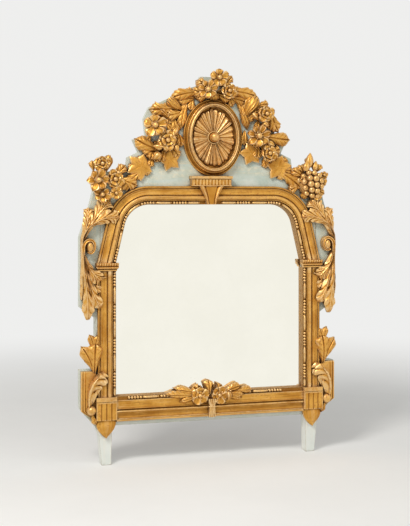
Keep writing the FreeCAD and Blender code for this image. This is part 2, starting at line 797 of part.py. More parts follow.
def make_arch_moulding():
    """The moulding over the glass: swept from the middle of the top down to a spring, and mirrored."""
    body = new_body("arch_moulding")
    place(body, y=FRONT_Y)
    path = new_sketch(body, "XZ_Plane", "path")
    spring, corner = arch_corners(ZERO)
    overrun = S.moulding_width * 0.4
    lean = S.sight_lean.value / (S.sight_top - S.spring_height).value
    foot = (spring[0] + overrun * lean, spring[1] - overrun)
    draw_outline(path, [(ZERO, S.sight_top), corner, foot], closed=False)
    profile = new_sketch(body, "YZ_Plane", "profile")
    draw_outline(profile, [(-c[1], S.sight_top + c[0], *c[2:]) for c in gilt_profile()])
    pipe = body.newObject("PartDesign::AdditivePipe", "sweep")
    pipe.Profile = profile
    pipe.Spine = path
    doc.recompute()
    below = S.spring_height - S.moulding_width
    outside = MOULDING_REACH + S.moulding_width
    trim = new_sketch(body, "XZ_Plane", "trim_at_capital")
    draw_outline(trim, rectangle(ZERO, outside, below, S.spring_height))
    trimmed = add_pocket(body, trim, ZERO, through=True)
    mirror = body.newObject("PartDesign::Mirrored", "other_half")
    mirror.Originals = [pipe, trimmed]
    mirror.MirrorPlane = (origin_plane(body, "YZ_Plane"), [""])
    body.Tip = mirror
    seat = new_sketch(body, "XZ_Plane", "keystone_seat")
    draw_outline(seat, keystone_corners(S.carving_gap))
    add_pocket(body, seat, ZERO, through=True)
    keep(body, "arch_moulding")


def make_bottom_moulding():
    """The moulding under the glass, between the corner blocks."""
    body = new_body("bottom_moulding")
    place(body, y=FRONT_Y)
    w, r = S.rail_moulding_height, S.moulding_relief
    fillet = r * 0.14
    foot = S.sight_bottom - w
    frieze_foot = BLOCK_TOP - w * 0.46
    torus_foot = frieze_foot - w * 0.16
    channel_foot = BLOCK_TOP - CHANNEL_END
    bed = r * BED_SHARE
    profile = [
        (ZERO, foot),
        (ZERO, BLOCK_TOP),
        (r * 0.62, BLOCK_TOP),
        (r * 0.62, BLOCK_TOP - S.moulding_width * FILLET_SHARE),
        (bed, BLOCK_TOP - S.moulding_width * FILLET_SHARE),
        (bed, channel_foot),
        (r * 0.7, channel_foot),
        (r * 0.7, frieze_foot),
        (r * 0.58, frieze_foot),
        (r * 0.58, frieze_foot - fillet),
        (r * 0.86, frieze_foot - fillet),
        (r, frieze_foot - fillet * 2),
        (r, torus_foot + fillet),
        (r * 0.86, torus_foot),
        (r * 0.5, foot + w * 0.09),
        (r * 0.66, foot + w * 0.09),
        (r * 0.66, foot),
    ]
    outline = new_sketch(body, "YZ_Plane", "profile")
    draw_outline(outline, [(-y, z, *more) for y, z, *more in profile])
    add_pad(body, outline, SIGHT_REACH * 2, midplane=True)
    keep(body, "bottom_moulding")


def make_capital(side):
    """A stepped capital with a row of small tongues, between pilaster and arch."""
    name = f"{SIDE_NAMES[side]}_capital"
    body = new_body(name)
    middle = SIGHT_REACH + S.moulding_width * 0.5
    place(body, x=side * middle, y=FRONT_Y, z=CAPITAL_FOOT)
    rise, relief = S.capital_height, S.capital_relief
    steps = [
        (ZERO, ZERO),
        (ZERO, rise),
        (relief * 0.86, rise),
        (relief, rise * 0.66),
        (relief, rise * 0.5),
        (relief * 0.84, rise * 0.5),
        (relief * 0.76, rise * 0.28),
        (relief * 0.92, rise * 0.2),
        (relief * 0.92, ZERO),
    ]
    profile = new_sketch(body, "YZ_Plane", "profile")
    draw_outline(profile, [(-y, z) for y, z in steps])
    width = S.moulding_width + S.capital_overhang * 2
    add_pad(body, profile, width, midplane=True)
    pitch = width * (1 / TONGUES_ON_A_CAPITAL)
    start = width * -0.5
    notch = new_sketch(body, "XZ_Plane", "notch", relief * 0.8)
    low = (start + pitch, rise * 0.62)
    draw_outline(notch, [(start + pitch * 0.7, rise), low, (start + pitch * 1.3, rise)])
    cut = add_pocket(body, notch, relief, reverse=True)
    add_row(body, cut, "H_Axis", width - pitch * 2, TONGUES_ON_A_CAPITAL - 1)
    keep(body, name)


def make_corner_block(side):
    """A fluted block where the side and bottom mouldings meet."""
    name = f"{SIDE_NAMES[side]}_corner_block"
    body = new_body(name)
    middle = SIGHT_REACH + S.block_width * 0.5
    place(body, x=side * middle, y=FRONT_Y, z=BLOCK_FOOT)
    half = S.block_width * 0.5
    outline = new_sketch(body, "XZ_Plane", "outline")
    draw_outline(outline, rectangle(-half, half, ZERO, S.block_height))
    add_pad(body, outline, S.block_relief)
    pitch = S.block_width * (1 / FLUTES_IN_A_BLOCK)
    middle, deep, wide = pitch * 0.5 - half, S.flute_radius * 0.7, S.flute_radius
    front = -S.block_relief
    groove = [
        (middle - wide, front),
        (middle - wide * 0.5, front + deep),
        (middle + wide * 0.5, front + deep),
        (middle + wide, front),
    ]
    flute = new_sketch(body, "XY_Plane", "flute", S.block_height * 0.08)
    draw_outline(flute, groove)
    cut = add_pocket(body, flute, S.block_height * 0.7, reverse=True)
    add_row(body, cut, "H_Axis", S.block_width - pitch, FLUTES_IN_A_BLOCK)
    keep(body, name)


def keystone_corners(gap):
    """The keystone's outline on the face, grown by a gap at its sides and foot."""
    top, foot = S.keystone_top_width * 0.5 + gap, S.keystone_foot_width * 0.5 + gap
    x, low, high = -S.keystone_shift, S.sight_top, ARCH_TOP
    return [(x - foot, low - gap), (x + foot, low - gap), (x + top, high + gap), (x - top, high + gap)]


def make_keystone():
    """A wedge over the middle of the arch, with a raised rib down each side."""
    body = new_body("keystone")
    place(body, y=FRONT_Y)
    outline = new_sketch(body, "XZ_Plane", "outline")
    draw_outline(outline, keystone_corners(ZERO))
    add_pad(body, outline, S.keystone_relief)
    panel = new_sketch(body, "XZ_Plane", "sunk_panel", S.keystone_relief)
    draw_outline(panel, keystone_corners(S.keystone_foot_width * -0.22))
    add_pocket(body, panel, S.keystone_relief * 0.16)
    keep(body, "keystone")


def make_keystone_cap():
    """A fluted cap on the keystone, which carries the medallion."""
    body = new_body("keystone_cap")
    place(body, x=-S.keystone_shift, y=FRONT_Y, z=ARCH_TOP)
    rise, relief, half = S.cap_height, S.cap_relief, S.cap_width * 0.5
    steps = [
        (ZERO, ZERO),
        (ZERO, rise),
        (relief, rise),
        (relief, rise * 0.78),
        (relief * 0.84, rise * 0.74),
        (relief * 0.84, rise * 0.14),
        (relief * 0.93, rise * 0.12),
        (relief * 0.93, ZERO),
    ]
    profile = new_sketch(body, "YZ_Plane", "profile")
    draw_outline(profile, [(-y, z) for y, z in steps])
    add_pad(body, profile, S.cap_width, midplane=True)
    pitch = S.cap_width * (1 / FLUTES_IN_THE_CAP)
    flute = new_sketch(body, "XZ_Plane", "flute", relief * 0.84)
    first = (pitch - S.cap_flute_width) * 0.5 - half
    draw_outline(flute, rectangle(first, first + S.cap_flute_width, rise * 0.2, rise * 0.68))
    cut = add_pocket(body, flute, S.cap_flute_width * 0.5)
    add_row(body, cut, "H_Axis", S.cap_width - pitch, FLUTES_IN_THE_CAP)
    keep(body, "keystone_cap")


# Solids with flat facets, for what is carved by hand
def facet_solid(rings, closed=False):
    """A solid through rings of as many points each, where the last may be a single point.

    It ends in caps, or closed joins the last ring to the first.
    """
    points = [p for ring in rings for p in ring]
    sides, levels = len(rings[0]), len(rings)
    pointed = len(rings[-1]) == 1
    facets = []
    for level in range(levels if closed else levels - 1):
        this, following = level * sides, (level + 1) % levels * sides
        for i in range(sides):
            j = (i + 1) % sides
            if pointed and level == levels - 2:
                facets.append((this + i, this + j, following))
                continue
            facets.append((this + i, this + j, following + j))
            facets.append((this + i, following + j, following + i))
    last = (levels - 1) * sides
    for i in range(1, sides - 1):
        if not closed:
            facets.append((0, i + 1, i))
        if not closed and not pointed:
            facets.append((last, last + i, last + i + 1))
    shell = Part.Shape()
    shell.makeShapeFromMesh((points, facets), S.joint_gap.value * MERGE_SHARE)
    solid = Part.Solid(shell)
    if solid.Volume < 0:
        solid.reverse()
    return solid


def face_ring(x, z, relief, radii, stretch=1.0):
    """A ring of points on the face, at one relief, with a radius for each point."""
    step = 2 * math.pi / len(radii)
    return [
        Vector(x + r * math.cos(i * step), -relief, z + r * stretch * math.sin(i * step))
        for i, r in enumerate(radii)
    ]


def prism(corners, low, high):
    """A prism on the face between two reliefs, from corners like those of draw_outline."""
    points = [Vector(c[0].value, -low, c[1].value) for c in corners]
    count = len(points)
    edges, starts, ends = [], list(points), list(points)
    for i, corner in enumerate(corners):
        if len(corner) == 3:
            before, after = points[i - 1], points[(i + 1) % count]
            starts[i], ends[i], centre = rounding(before, points[i], after, corner[2].value)
            middle = centre + (points[i] - centre).normalize() * corner[2].value
            edges.append(Part.Arc(starts[i], middle, ends[i]).toShape())
    for i in range(count):
        edges.append(Part.makeLine(ends[i], starts[(i + 1) % count]))
    wire = Part.Wire(Part.__sortEdges__(edges))
    return Part.Face(wire).extrude(Vector(0, low - high, 0))


def carve(name, solids, clear_of=()):
    """One carved piece on the boards: its parts joined, then cut clear of its neighbours."""
    shape = solids[0].fuse(solids[1:]) if len(solids) > 1 else solids[0]
    if clear_of:
        shape = shape.cut(list(clear_of))
    largest = max(s.Volume for s in shape.Solids)
    sound = [s for s in shape.Solids if s.Volume > largest * CHIP_SHARE]
    made = doc.addObject("Part::Feature", name)
    made.Shape = (sound[0] if len(sound) == 1 else Part.makeCompound(sound)).removeSplitter()
    made.Placement.Base = Vector(0, FRONT_Y.value, 0)
    return keep(made, name)


def strip(spine, half_widths, rim, ridge, foot=0.0, grow=0.0):
    """A leaf or stem along a spine of (x, z), with a rim at both edges and a ridge down its middle.

    It comes to a point where its last half width is zero. With grow it is the room that the strip takes:
    flat on top, and larger by that much all round.
    """
    points = [Vector(x, 0, z) for x, z in spine]
    if grow:
        points[0] += (points[0] - points[1]).normalize() * grow
        points[-1] += (points[-1] - points[-2]).normalize() * grow
        half_widths = [w + grow for w in half_widths]
        rim = ridge = ridge + grow
        foot -= grow
    rings = []
    for i, (here, half) in enumerate(zip(points, half_widths)):
        along = (points[min(i + 1, len(points) - 1)] - points[max(i - 1, 0)]).normalize()
        across = Vector(-along.z, 0, along.x) * half
        up = Vector(0, -1, 0)
        if half == 0:
            rings.append([here + up * foot])
            break
        left, right = here + across, here - across
        edges = [left + up * foot, left + up * rim], [right + up * rim, right + up * foot]
        rings.append([*edges[0], here + up * ridge, *edges[1]])
    return facet_solid(rings)


def leaf(start, tip, half_width, shares, rim, ridge, bend=0.0, foot=0.0, grow=0.0):
    """A leaf from a start to a tip of (x, z). Its spine bows to the left by bend, a share of its length."""
    base, end = Vector(start[0], 0, start[1]), Vector(tip[0], 0, tip[1])
    run = end - base
    aside = Vector(-run.z, 0, run.x)
    spine = [base + run * s + aside * (bend * 4 * s * (1 - s)) for s, _ in shares]
    return strip([(p.x, p.z) for p in spine], [half_width * w for _, w in shares], rim, ridge, foot, grow)


def lobed_leaf(start, tip, half_width, rim, ridge, grow=0.0):
    """A leaf with a middle lobe and one at each side, like ivy or vine."""
    run = Vector(tip[0] - start[0], 0, tip[1] - start[1])
    lobes = [leaf(start, tip, half_width * 0.62, PLAIN_LEAF_SHARES, rim, ridge, grow=grow)]
    for turn in (-1, 1):
        aside = Vector(-run.z, 0, run.x).normalize() * (turn * half_width)
        side_tip = Vector(start[0], 0, start[1]) + run * 0.52 + aside
        reach = (side_tip.x, side_tip.z)
        lobes.append(leaf(start, reach, half_width * 0.5, PLAIN_LEAF_SHARES, rim, ridge, grow=grow))
    return lobes


def flower(x, z, radius, relief, petals, foot=0.0):
    """A flower on a post: petals that rise from a heart. Its heart reaches the given relief."""
    sides = petals * 2
    rise, heart_rise = S.petal_rise.value, S.flower_heart_rise.value
    heart, post = radius * 0.27, S.flower_post_radius.value
    throat = relief - rise - heart_rise
    tips = [radius if i % 2 == 0 else radius * 0.84 for i in range(sides)]
    rings = [
        face_ring(x, z, foot, [post] * sides),
        face_ring(x, z, throat, [post] * sides),
        face_ring(x, z, relief - heart_rise - S.petal_thickness.value, tips),
        face_ring(x, z, relief - heart_rise, [t * 0.97 for t in tips]),
        face_ring(x, z, throat + rise * 0.3, [heart] * sides),
        [Vector(x, -relief, z)],
    ]
    return facet_solid(rings)


def flower_hole(x, z):
    """Room for a flower's post through a leaf."""
    radius = S.flower_post_radius.value + S.carving_gap.value
    sides = 10
    radii = [radius / math.cos(math.pi / sides)] * sides
    return facet_solid([face_ring(x, z, -radius, radii), face_ring(x, z, FLOWER_RELIEF.value, radii)])


def bud(x, z, radius, relief, sides, foot=0.0):
    """A closed bud or a berry: a dome of flat facets."""
    rise = relief - foot
    rings = [
        face_ring(x, z, foot, [radius * 0.8] * sides),
        face_ring(x, z, foot + rise * 0.62, [radius] * sides),
        [Vector(x, -relief, z)],
    ]
    return facet_solid(rings)


# Beads in the mouldings' channels
def bead(x, z, bed):
    radius = S.bead_radius.value
    return facet_solid([face_ring(x, z, bed, [radius] * BEAD_SIDES), [Vector(x, -bed - radius, z)]])


def reel(places, bed):
    """A low bar between two groups of beads, along places of (x, z) in the channel."""
    radius = S.bead_radius.value
    return strip(places, [radius * 0.8] * len(places), bed + radius * 0.35, bed + radius * 0.6, bed)


def bead_run(place_at, start, end, stations=2):
    """Bars and groups of beads in turn, from start to end along a route."""
    pitch = (S.bead_radius * 2 + S.bead_gap).value
    bed = (S.moulding_relief * BED_SHARE).value
    group_length = pitch * BEADS_IN_A_GROUP
    gap = S.bead_gap.value
    periods = max(1, int((end - start) / (group_length + S.reel_length.value)))
    period = (end - start) / periods
    solids = []
    for number in range(periods):
        first = start + period * number
        bar = period - group_length - gap
        steps = [first + bar * i / (stations - 1) for i in range(stations)]
        solids.append(reel([place_at(s) for s in steps], bed))
        for i in range(BEADS_IN_A_GROUP):
            x, z = place_at(first + bar + gap + pitch * (i + 0.5))
            solids.append(bead(x, z, bed))
    return solids


def arch_route():
    """Where beads lie on the arch's right half: a function of the distance from the middle of the top."""
    spring, corner = [[part.value for part in c] for c in arch_corners(CHANNEL_MIDDLE)]
    top = Vector(0, 0, corner[1])
    bend, foot = Vector(corner[0], 0, corner[1]), Vector(spring[0], 0, spring[1])
    leave, arrive, centre = rounding(top, bend, foot, corner[2])
    turn = (leave - centre).getAngle(arrive - centre)
    straight, curve = leave.x, turn * corner[2]
    down = (foot - arrive).normalize()

    def place_at(run):
        if run < straight:
            point = Vector(run, 0, corner[1])
        elif run < straight + curve:
            angle = math.pi / 2 - (run - straight) / corner[2]
            point = centre + Vector(math.cos(angle), 0, math.sin(angle)) * corner[2]
        else:
            point = arrive + down * (run - straight - curve)
        return point.x, point.z

    return place_at, straight + curve + (foot - arrive).Length


def add_beads(name, solids):
    made = doc.addObject("Part::Feature", name)
    made.Shape = Part.makeCompound(solids)
    made.Placement.Base = Vector(0, FRONT_Y.value, 0)
    keep(made, name)


def mirrored(solids):
    return [s.mirror(Vector(0, 0, 0), Vector(1, 0, 0)) for s in solids]


def make_beads():
    gap = S.bead_gap.value
    column = (SIGHT_REACH + CHANNEL_MIDDLE).value
    foot, top = BLOCK_TOP.value + gap, CAPITAL_FOOT.value - gap
    right = bead_run(lambda run: (column, run), foot, top)
    add_beads("right_pilaster_beads", right)
    add_beads("left_pilaster_beads", mirrored(right))
    row = (S.sight_bottom - CHANNEL_MIDDLE).value
    half = SIGHT_REACH.value - gap
    bottom = bead_run(lambda run: (run, row), gap, half)
    add_beads("bottom_beads", bottom + mirrored(bottom))
    place_at, length = arch_route()
    start = (S.keystone_foot_width + S.keystone_shift).value
    arch = bead_run(place_at, start, length - gap, stations=3)
    add_beads("arch_beads", arch + mirrored(arch))


# Medallion
def make_medallion():
    """A rayed rosette in an oval ring, with a boss in its middle."""
    x, z = S.medallion_shift.value, MEDALLION_Z.value
    half_width, half_height = S.medallion_half_width.value, S.medallion_half_height.value
    band, relief = S.medallion_band.value, S.medallion_relief.value
    rings = []
    for i in range(RING_STATIONS):
        angle = 2 * math.pi * i / RING_STATIONS
        outward = Vector(math.cos(angle), 0, math.sin(angle))
        outer = Vector(x + half_width * outward.x, 0, z + half_height * outward.z)
        section = [(band * w, relief * r) for w, r in RING_PROFILE_SHARES]
        rings.append([outer - outward * w - Vector(0, r, 0) for w, r in section])
    carve("medallion_ring", [facet_solid(rings, closed=True)])
    clear = S.carving_gap.value
    inside = math.cos(math.pi / RING_STATIONS)
    wide, tall = (half_width - band) * inside - clear, (half_height - band) * inside - clear
    rays = [wide if i % 2 == 0 else wide * 0.93 for i in range(ROSETTE_RAYS * 2)]
    ridge, dish = S.rosette_relief.value, S.rosette_dish_depth.value
    hollows = [0 if i % 2 == 0 else dish * 0.4 for i in range(ROSETTE_RAYS * 2)]
    stretch = tall / wide
    levels = [(1.0, 0.0), (1.0, ridge - dish * 0.6), (0.9, ridge), (0.3, ridge - dish)]
    rosette = []
    for number, (share, level) in enumerate(levels):
        ring = face_ring(x, z, level, [r * share for r in rays], stretch=stretch)
        sunk = hollows if number == 2 else [0] * len(hollows)
        rosette.append([p + Vector(0, low, 0) for p, low in zip(ring, sunk)])
    carve("medallion_rosette", [facet_solid(rosette)])
    radius, seat = S.boss_radius.value, ridge - dish
    boss = [
        face_ring(x, z, seat, [radius * 0.9] * BOSS_SIDES),
        face_ring(x, z, seat + (S.boss_relief.value - seat) * 0.35, [radius] * BOSS_SIDES),
        face_ring(x, z, seat + (S.boss_relief.value - seat) * 0.8, [radius * 0.7] * BOSS_SIDES),
        [Vector(x, -S.boss_relief.value, z)],
    ]
    carve("medallion_boss", [facet_solid(boss)])


# Garlands round the medallion. Their shares are of the garland's reach, from the medallion's centre.
def from_medallion(x_share, z_share):
    reach = S.garland_reach.value
    return x_share * reach, MEDALLION_Z.value + z_share * reach


def garland_flowers(shares):
    reach, relief = S.garland_reach.value, FLOWER_RELIEF.value
    made = []
    for x, z, radius, relief_share, petals in shares:
        made.append(flower(*from_medallion(x, z), radius * reach, relief * relief_share, petals))
    return made


def garland_leaves(shares, grow=0.0):
    reach = S.garland_reach.value
    rim, ridge = S.leaf_edge_relief.value, S.leaf_ridge_relief.value
    made = []
    for kind, x, z, tip_x, tip_z, half_width, bend in shares:
        start, tip = from_medallion(x, z), from_medallion(tip_x, tip_z)
        if kind == "lobed":
            made += lobed_leaf(start, tip, half_width * reach, rim, ridge, grow)
        else:
            outline = LEAF_KIND_SHARES[kind]
            made.append(leaf(start, tip, half_width * reach, outline, rim, ridge, bend, grow=grow))
    return made


def medallion_room():
    """The medallion and its cap, with clearance, as solids that no leaf enters."""
    gap = S.carving_gap.value
    wide, tall = S.medallion_half_width.value + gap, S.medallion_half_height.value + gap
    deep = FLOWER_RELIEF.value
    sides = RING_STATIONS
    ring = [face_ring(S.medallion_shift.value, MEDALLION_Z.value, r, [wide] * sides, stretch=tall / wide)
            for r in (-deep, deep)]
    half = S.cap_width * 0.5 + S.carving_gap
    middle, top = -S.keystone_shift, CAP_TOP + S.carving_gap
    cap = rectangle(middle - half, middle + half, ARCH_TOP - half, top)
    return [facet_solid(ring), prism(cap, -deep, deep)]


def make_garlands():
    rooms = medallion_room() + [arch_room()]
    tables = ((LEFT, LEFT_LEAF_SHARES, LEFT_FLOWER_SHARES), (RIGHT, RIGHT_LEAF_SHARES, RIGHT_FLOWER_SHARES))
    for side, leaf_shares, flower_shares in tables:
        holes = [flower_hole(*from_medallion(x, z)) for x, z, *_ in flower_shares]
        carve(f"{SIDE_NAMES[side]}_garland_leaves", garland_leaves(leaf_shares), rooms + holes)
        carve(f"{SIDE_NAMES[side]}_garland_flowers", garland_flowers(flower_shares))
    top = garland_flowers(TOP_FLOWER_SHARES) + garland_leaves(TOP_LEAF_SHARES)
    carve("top_bouquet", top, rooms + garland_leaf_rooms())


def garland_leaf_rooms():
    """The room of all leaves at both sides of the medallion."""
    return garland_leaves(LEFT_LEAF_SHARES + RIGHT_LEAF_SHARES, S.carving_gap.value)


def arch_room():
    """The arch moulding with clearance."""
    gap = S.carving_gap
    outer, inner = arch_corners(S.moulding_width + gap), arch_corners(-S.glass_gap)
    foot = S.spring_height - gap
    right = [(inner[0][0], foot), (outer[0][0], foot), outer[1]]
    left = [(-x, *more) for x, *more in reversed(right)]
    inner_top = [(-inner[1][0], *inner[1][1:]), inner[1]]
    return prism(right + left + inner_top, -gap.value, (S.moulding_relief + gap).value)


def moulding_rooms(side):
    """Side moulding, capital and corner block with clearance."""
    gap = S.carving_gap
    near, far = SIGHT_REACH - gap, MOULDING_REACH + gap
    over = S.capital_overhang
    low = -gap.value
    blocks = [
        (near, far, BLOCK_TOP - gap, S.spring_height, S.moulding_relief),
        (near - over, far + over, CAPITAL_FOOT - gap, S.spring_height + gap, S.capital_relief),
        (near, BLOCK_REACH + gap, BLOCK_FOOT - gap, BLOCK_TOP + gap, S.block_relief),
    ]
    rooms = []
    for x_low, x_high, z_low, z_high, relief in blocks:
        corners = rectangle(side * x_low, side * x_high, z_low, z_high)
        rooms.append(prism(corners, low, (relief + gap).value))
    return rooms


# Carving at the sides. Its shares are of the wing's height, from the middle of the wing's outer edge inwards.
def on_wing(side, x_share, z_share):
    height = S.wing_height.value
    inwards = BOARD_REACH.value - x_share * height
    return side * inwards, S.wing_foot_height.value + z_share * height


def make_side_carving(side):
    name = SIDE_NAMES[side]
    rim, ridge = S.acanthus_edge_relief.value, S.acanthus_ridge_relief.value
    height = S.wing_height.value
    rooms = moulding_rooms(side) + [arch_room()] + volute_room(side)
    groups = (("upper_acanthus", UPPER_ACANTHUS_SHARES), ("lower_acanthus", LOWER_ACANTHUS_SHARES),
              ("vine_leaf", VINE_LEAF_SHARES))
    for part, shares in groups:
        lobes, lobe_rooms = [], []
        for x, z, tip_x, tip_z, half_width, bend in shares:
            start, tip = on_wing(side, x, z), on_wing(side, tip_x, tip_z)
            form = (start, tip, half_width * height, ACANTHUS_SHARES, rim, ridge, bend * -side)
            lobes.append(leaf(*form))
            lobe_rooms.append(leaf(*form, grow=S.carving_gap.value))
        carve(f"{name}_{part}", lobes, rooms)
        rooms += lobe_rooms
    make_volute(side)


def volute_places(side):
    """The scroll's spine, from its eye outwards along a spiral."""
    x, z = on_wing(side, *VOLUTE_PLACE_SHARES)
    radius = S.volute_radius.value
    places = []
    for i in range(VOLUTE_STATIONS):
        share = i / (VOLUTE_STATIONS - 1)
        angle = VOLUTE_TURN * share
        out = radius * (0.25 + 0.75 * share)
        places.append((x - side * out * math.sin(angle), z - out * math.cos(angle)))
    return places


def volute_room(side):
    x, z = on_wing(side, *VOLUTE_PLACE_SHARES)
    radius = (S.volute_radius * 1.3 + S.carving_gap).value
    deep = FLOWER_RELIEF.value
    return [facet_solid([face_ring(x, z, r, [radius] * BOSS_SIDES) for r in (-deep, deep)])]


def make_volute(side):
    """A scroll between the two leaves, with an eye in its middle."""
    places = volute_places(side)
    band = S.volute_radius.value * 0.2
    rim, ridge = S.acanthus_edge_relief.value, S.volute_relief.value
    x, z = on_wing(side, *VOLUTE_PLACE_SHARES)
    radius = S.volute_radius.value
    solids = [
        strip(places, [band] * len(places), rim, ridge),
        bud(x, z, radius * 0.45, ridge, BOSS_SIDES // 2),
        facet_solid([face_ring(x, z, r, [radius * 1.05] * BOSS_SIDES) for r in (0.0, rim * 0.7)]),
    ]
    carve(f"{SIDE_NAMES[side]}_volute", solids)


def bracket_corners(side):
    """The gilt field on the ear: the ear's outline, set back from its edge."""
    back = S.board_set_back
    near = BLOCK_REACH + S.carving_gap
    far = BOARD_REACH - back
    low = S.ear_foot_height
    step = far - near
    corners = [
        (near, low - step * 0.55),
        (near + step * 0.45, low - step * 0.16),
        (far, low + S.leg_taper),
        (far, S.ear_top_height - back),
        (near, S.ear_top_height - back),
    ]
    return [(side * x, z) for x, z in corners]


def make_bracket(side):
    name = SIDE_NAMES[side]
    body = new_body(f"{name}_bracket")
    place(body, y=FRONT_Y)
    outline = new_sketch(body, "XZ_Plane", "outline")
    draw_outline(outline, bracket_corners(side))
    add_pad(body, outline, S.bracket_relief)
    eye = on_ear(side, EAR_EYE_SHARES)
    hole = draw_circle(new_sketch(body, "XZ_Plane", "pierced_eye"), *eye, S.ear_eye_radius)
    add_pocket(body, hole, ZERO, through=True)
    keep(body, f"{name}_bracket")
    knob, start, tip = [
        [part.value for part in on_ear(side, shares)]
        for shares in (EAR_KNOB_SHARES, EAR_LEAF_START_SHARES, EAR_LEAF_TIP_SHARES)
    ]
    seat, width = S.bracket_relief.value, EAR_WIDTH.value
    rim, ridge = S.acanthus_edge_relief.value, S.acanthus_ridge_relief.value
    lobes = [
        leaf(start, tip, width * 0.42, ACANTHUS_SHARES, rim, ridge, 0.16 * side, seat),
        bud(*knob, width * 0.3, ridge, BOSS_SIDES // 2, seat),
    ]
    radii = [(S.ear_eye_radius + S.carving_gap).value] * BOSS_SIDES
    eye_room = facet_solid([face_ring(*[part.value for part in eye], r, radii) for r in (0.0, ridge * 2)])
    carve(f"{name}_bracket_leaf", lobes, moulding_rooms(side) + [eye_room])


def make_pendant(side):
    """A pointed leaf drop that hangs from the corner block over the leg."""
    x = side * (SIGHT_REACH + S.block_width * 0.5).value
    half, length = S.block_width.value * 0.5, S.pendant_length.value
    spine = [(x, BLOCK_FOOT.value - length * z) for z, _ in PENDANT_SHARES]
    widths = [half * w for _, w in PENDANT_SHARES]
    relief = S.pendant_relief.value
    carve(f"{SIDE_NAMES[side]}_pendant", [strip(spine, widths, relief * 0.45, relief)])


# Bouquets
def on_shoulder(side, x_share, z_share):
    reach = S.garland_reach.value
    return side * (SHOULDER_REACH.value + x_share * reach), SHOULDER_HEIGHT.value + z_share * reach


def make_shoulder_bouquets():
    """Open flowers on the left shoulder, and berries with a bud on the right one."""
    reach, relief = S.garland_reach.value, FLOWER_RELIEF.value
    rim, ridge = S.leaf_edge_relief.value, S.leaf_ridge_relief.value
    rooms = [arch_room()] + garland_leaf_rooms()
    left = []
    for x, z, radius, relief_share, petals, foot_share in LEFT_SHOULDER_FLOWER_SHARES:
        spot = on_shoulder(LEFT, x, z)
        left.append(flower(*spot, radius * reach, relief * relief_share, petals, relief * foot_share))
    for x, z, tip_x, tip_z, half_width in LEFT_SHOULDER_LEAF_SHARES:
        spots = on_shoulder(LEFT, x, z), on_shoulder(LEFT, tip_x, tip_z)
        left.append(leaf(*spots, half_width * reach, PLAIN_LEAF_SHARES, rim, ridge))
    carve("left_shoulder_bouquet", left, rooms)
    right = []
    for x, z, tip_x, tip_z, half_width in RIGHT_SHOULDER_LEAF_SHARES:
        spots = on_shoulder(RIGHT, x, z), on_shoulder(RIGHT, tip_x, tip_z)
        right.append(leaf(*spots, half_width * reach, PLAIN_LEAF_SHARES, rim, ridge))
    for z, first, last, count, relief_share in BERRY_ROW_SHARES:
        for number in range(count):
            spot = on_shoulder(RIGHT, first + (last - first) * number / (count - 1), z)
            right.append(bud(*spot, S.berry_radius.value, relief * relief_share, BERRY_SIDES))
    carve("right_shoulder_bouquet", right, rooms)


def make_bottom_bouquet():
    """Flowers and leaves tied by a stem, in front of the bottom moulding."""
    reach = S.garland_reach.value
    seat = (S.moulding_relief + S.carving_gap).value
    top = S.bouquet_relief.value
    middle_z = S.sight_bottom.value
    rim, ridge = seat + (top - seat) * 0.3, seat + (top - seat) * 0.6
    solids = []
    for x, z, tip_x, tip_z, half_width in BOTTOM_LEAF_SHARES:
        start, tip = (x * reach, middle_z + z * reach), (tip_x * reach, middle_z + tip_z * reach)
        solids.append(leaf(start, tip, half_width * reach, PLAIN_LEAF_SHARES, rim, ridge, foot=seat))
    for x, z, radius, petals in BOTTOM_FLOWER_SHARES:
        solids.append(flower(x * reach, middle_z + z * reach, radius * reach, top, petals, seat))
    carve("bottom_bouquet", solids)


# Ironwork at the back
def forged_loop(points, axis, radius, closed):
    """A rod of square-cornered section along points in a plane with the given axis."""
    rings = []
    count = len(points)
    for i, here in enumerate(points):
        before = points[i - 1] if closed or i > 0 else here
        after = points[(i + 1) % count] if closed or i < count - 1 else here
        along = (after - before).normalize()
        aside = along.cross(axis)
        ring = []
        for k in range(WIRE_SIDES):
            angle = 2 * math.pi * (k + 0.5) / WIRE_SIDES
            ring.append(here + aside * (radius * math.cos(angle)) + axis * (radius * math.sin(angle)))
        rings.append(ring)
    return facet_solid(rings, closed)


def plate_nail_spots():
    inset = S.plate_nail_radius * 3
    reach, rise = S.plate_width * 0.5 - inset, S.plate_height * 0.5 - inset
    return [(x, S.eye_height + z) for x in (-reach, reach) for z in (-rise, rise)]


def hanger_holes():
    """Holes for the plate's nails and the eye's legs, through the plate and into the crest board."""
    back, slack = CREST_BACK_Y + S.plate_thickness, S.joint_gap
    depth = S.plate_nail_length + slack
    holes = []
    for x, z in plate_nail_spots():
        holes.append(rod(S.plate_nail_radius + slack, depth, x, back, z, FORWARD, NAIL_SIDES))
    depth = EYE_LEG_LENGTH + S.plate_thickness + slack
    for z in (S.eye_height - S.eye_bend_radius, S.eye_height + S.eye_bend_radius):
        holes.append(rod(S.eye_wire_radius * 1.1 + slack, depth, ZERO, back, z, FORWARD, WIRE_SIDES))
    return holes


def make_plate_nail(x, z):
    back = CREST_BACK_Y + S.plate_thickness
    nail = doc.addObject("Part::Fuse", "nail")
    nail.Base = rod(S.plate_nail_radius, S.plate_nail_length, x, back, z, FORWARD, NAIL_SIDES)
    nail.Tool = rod(S.plate_nail_radius * 1.8, S.plate_thickness * 0.6, x, back, z, -FORWARD, NAIL_HEAD_SIDES)
    return nail


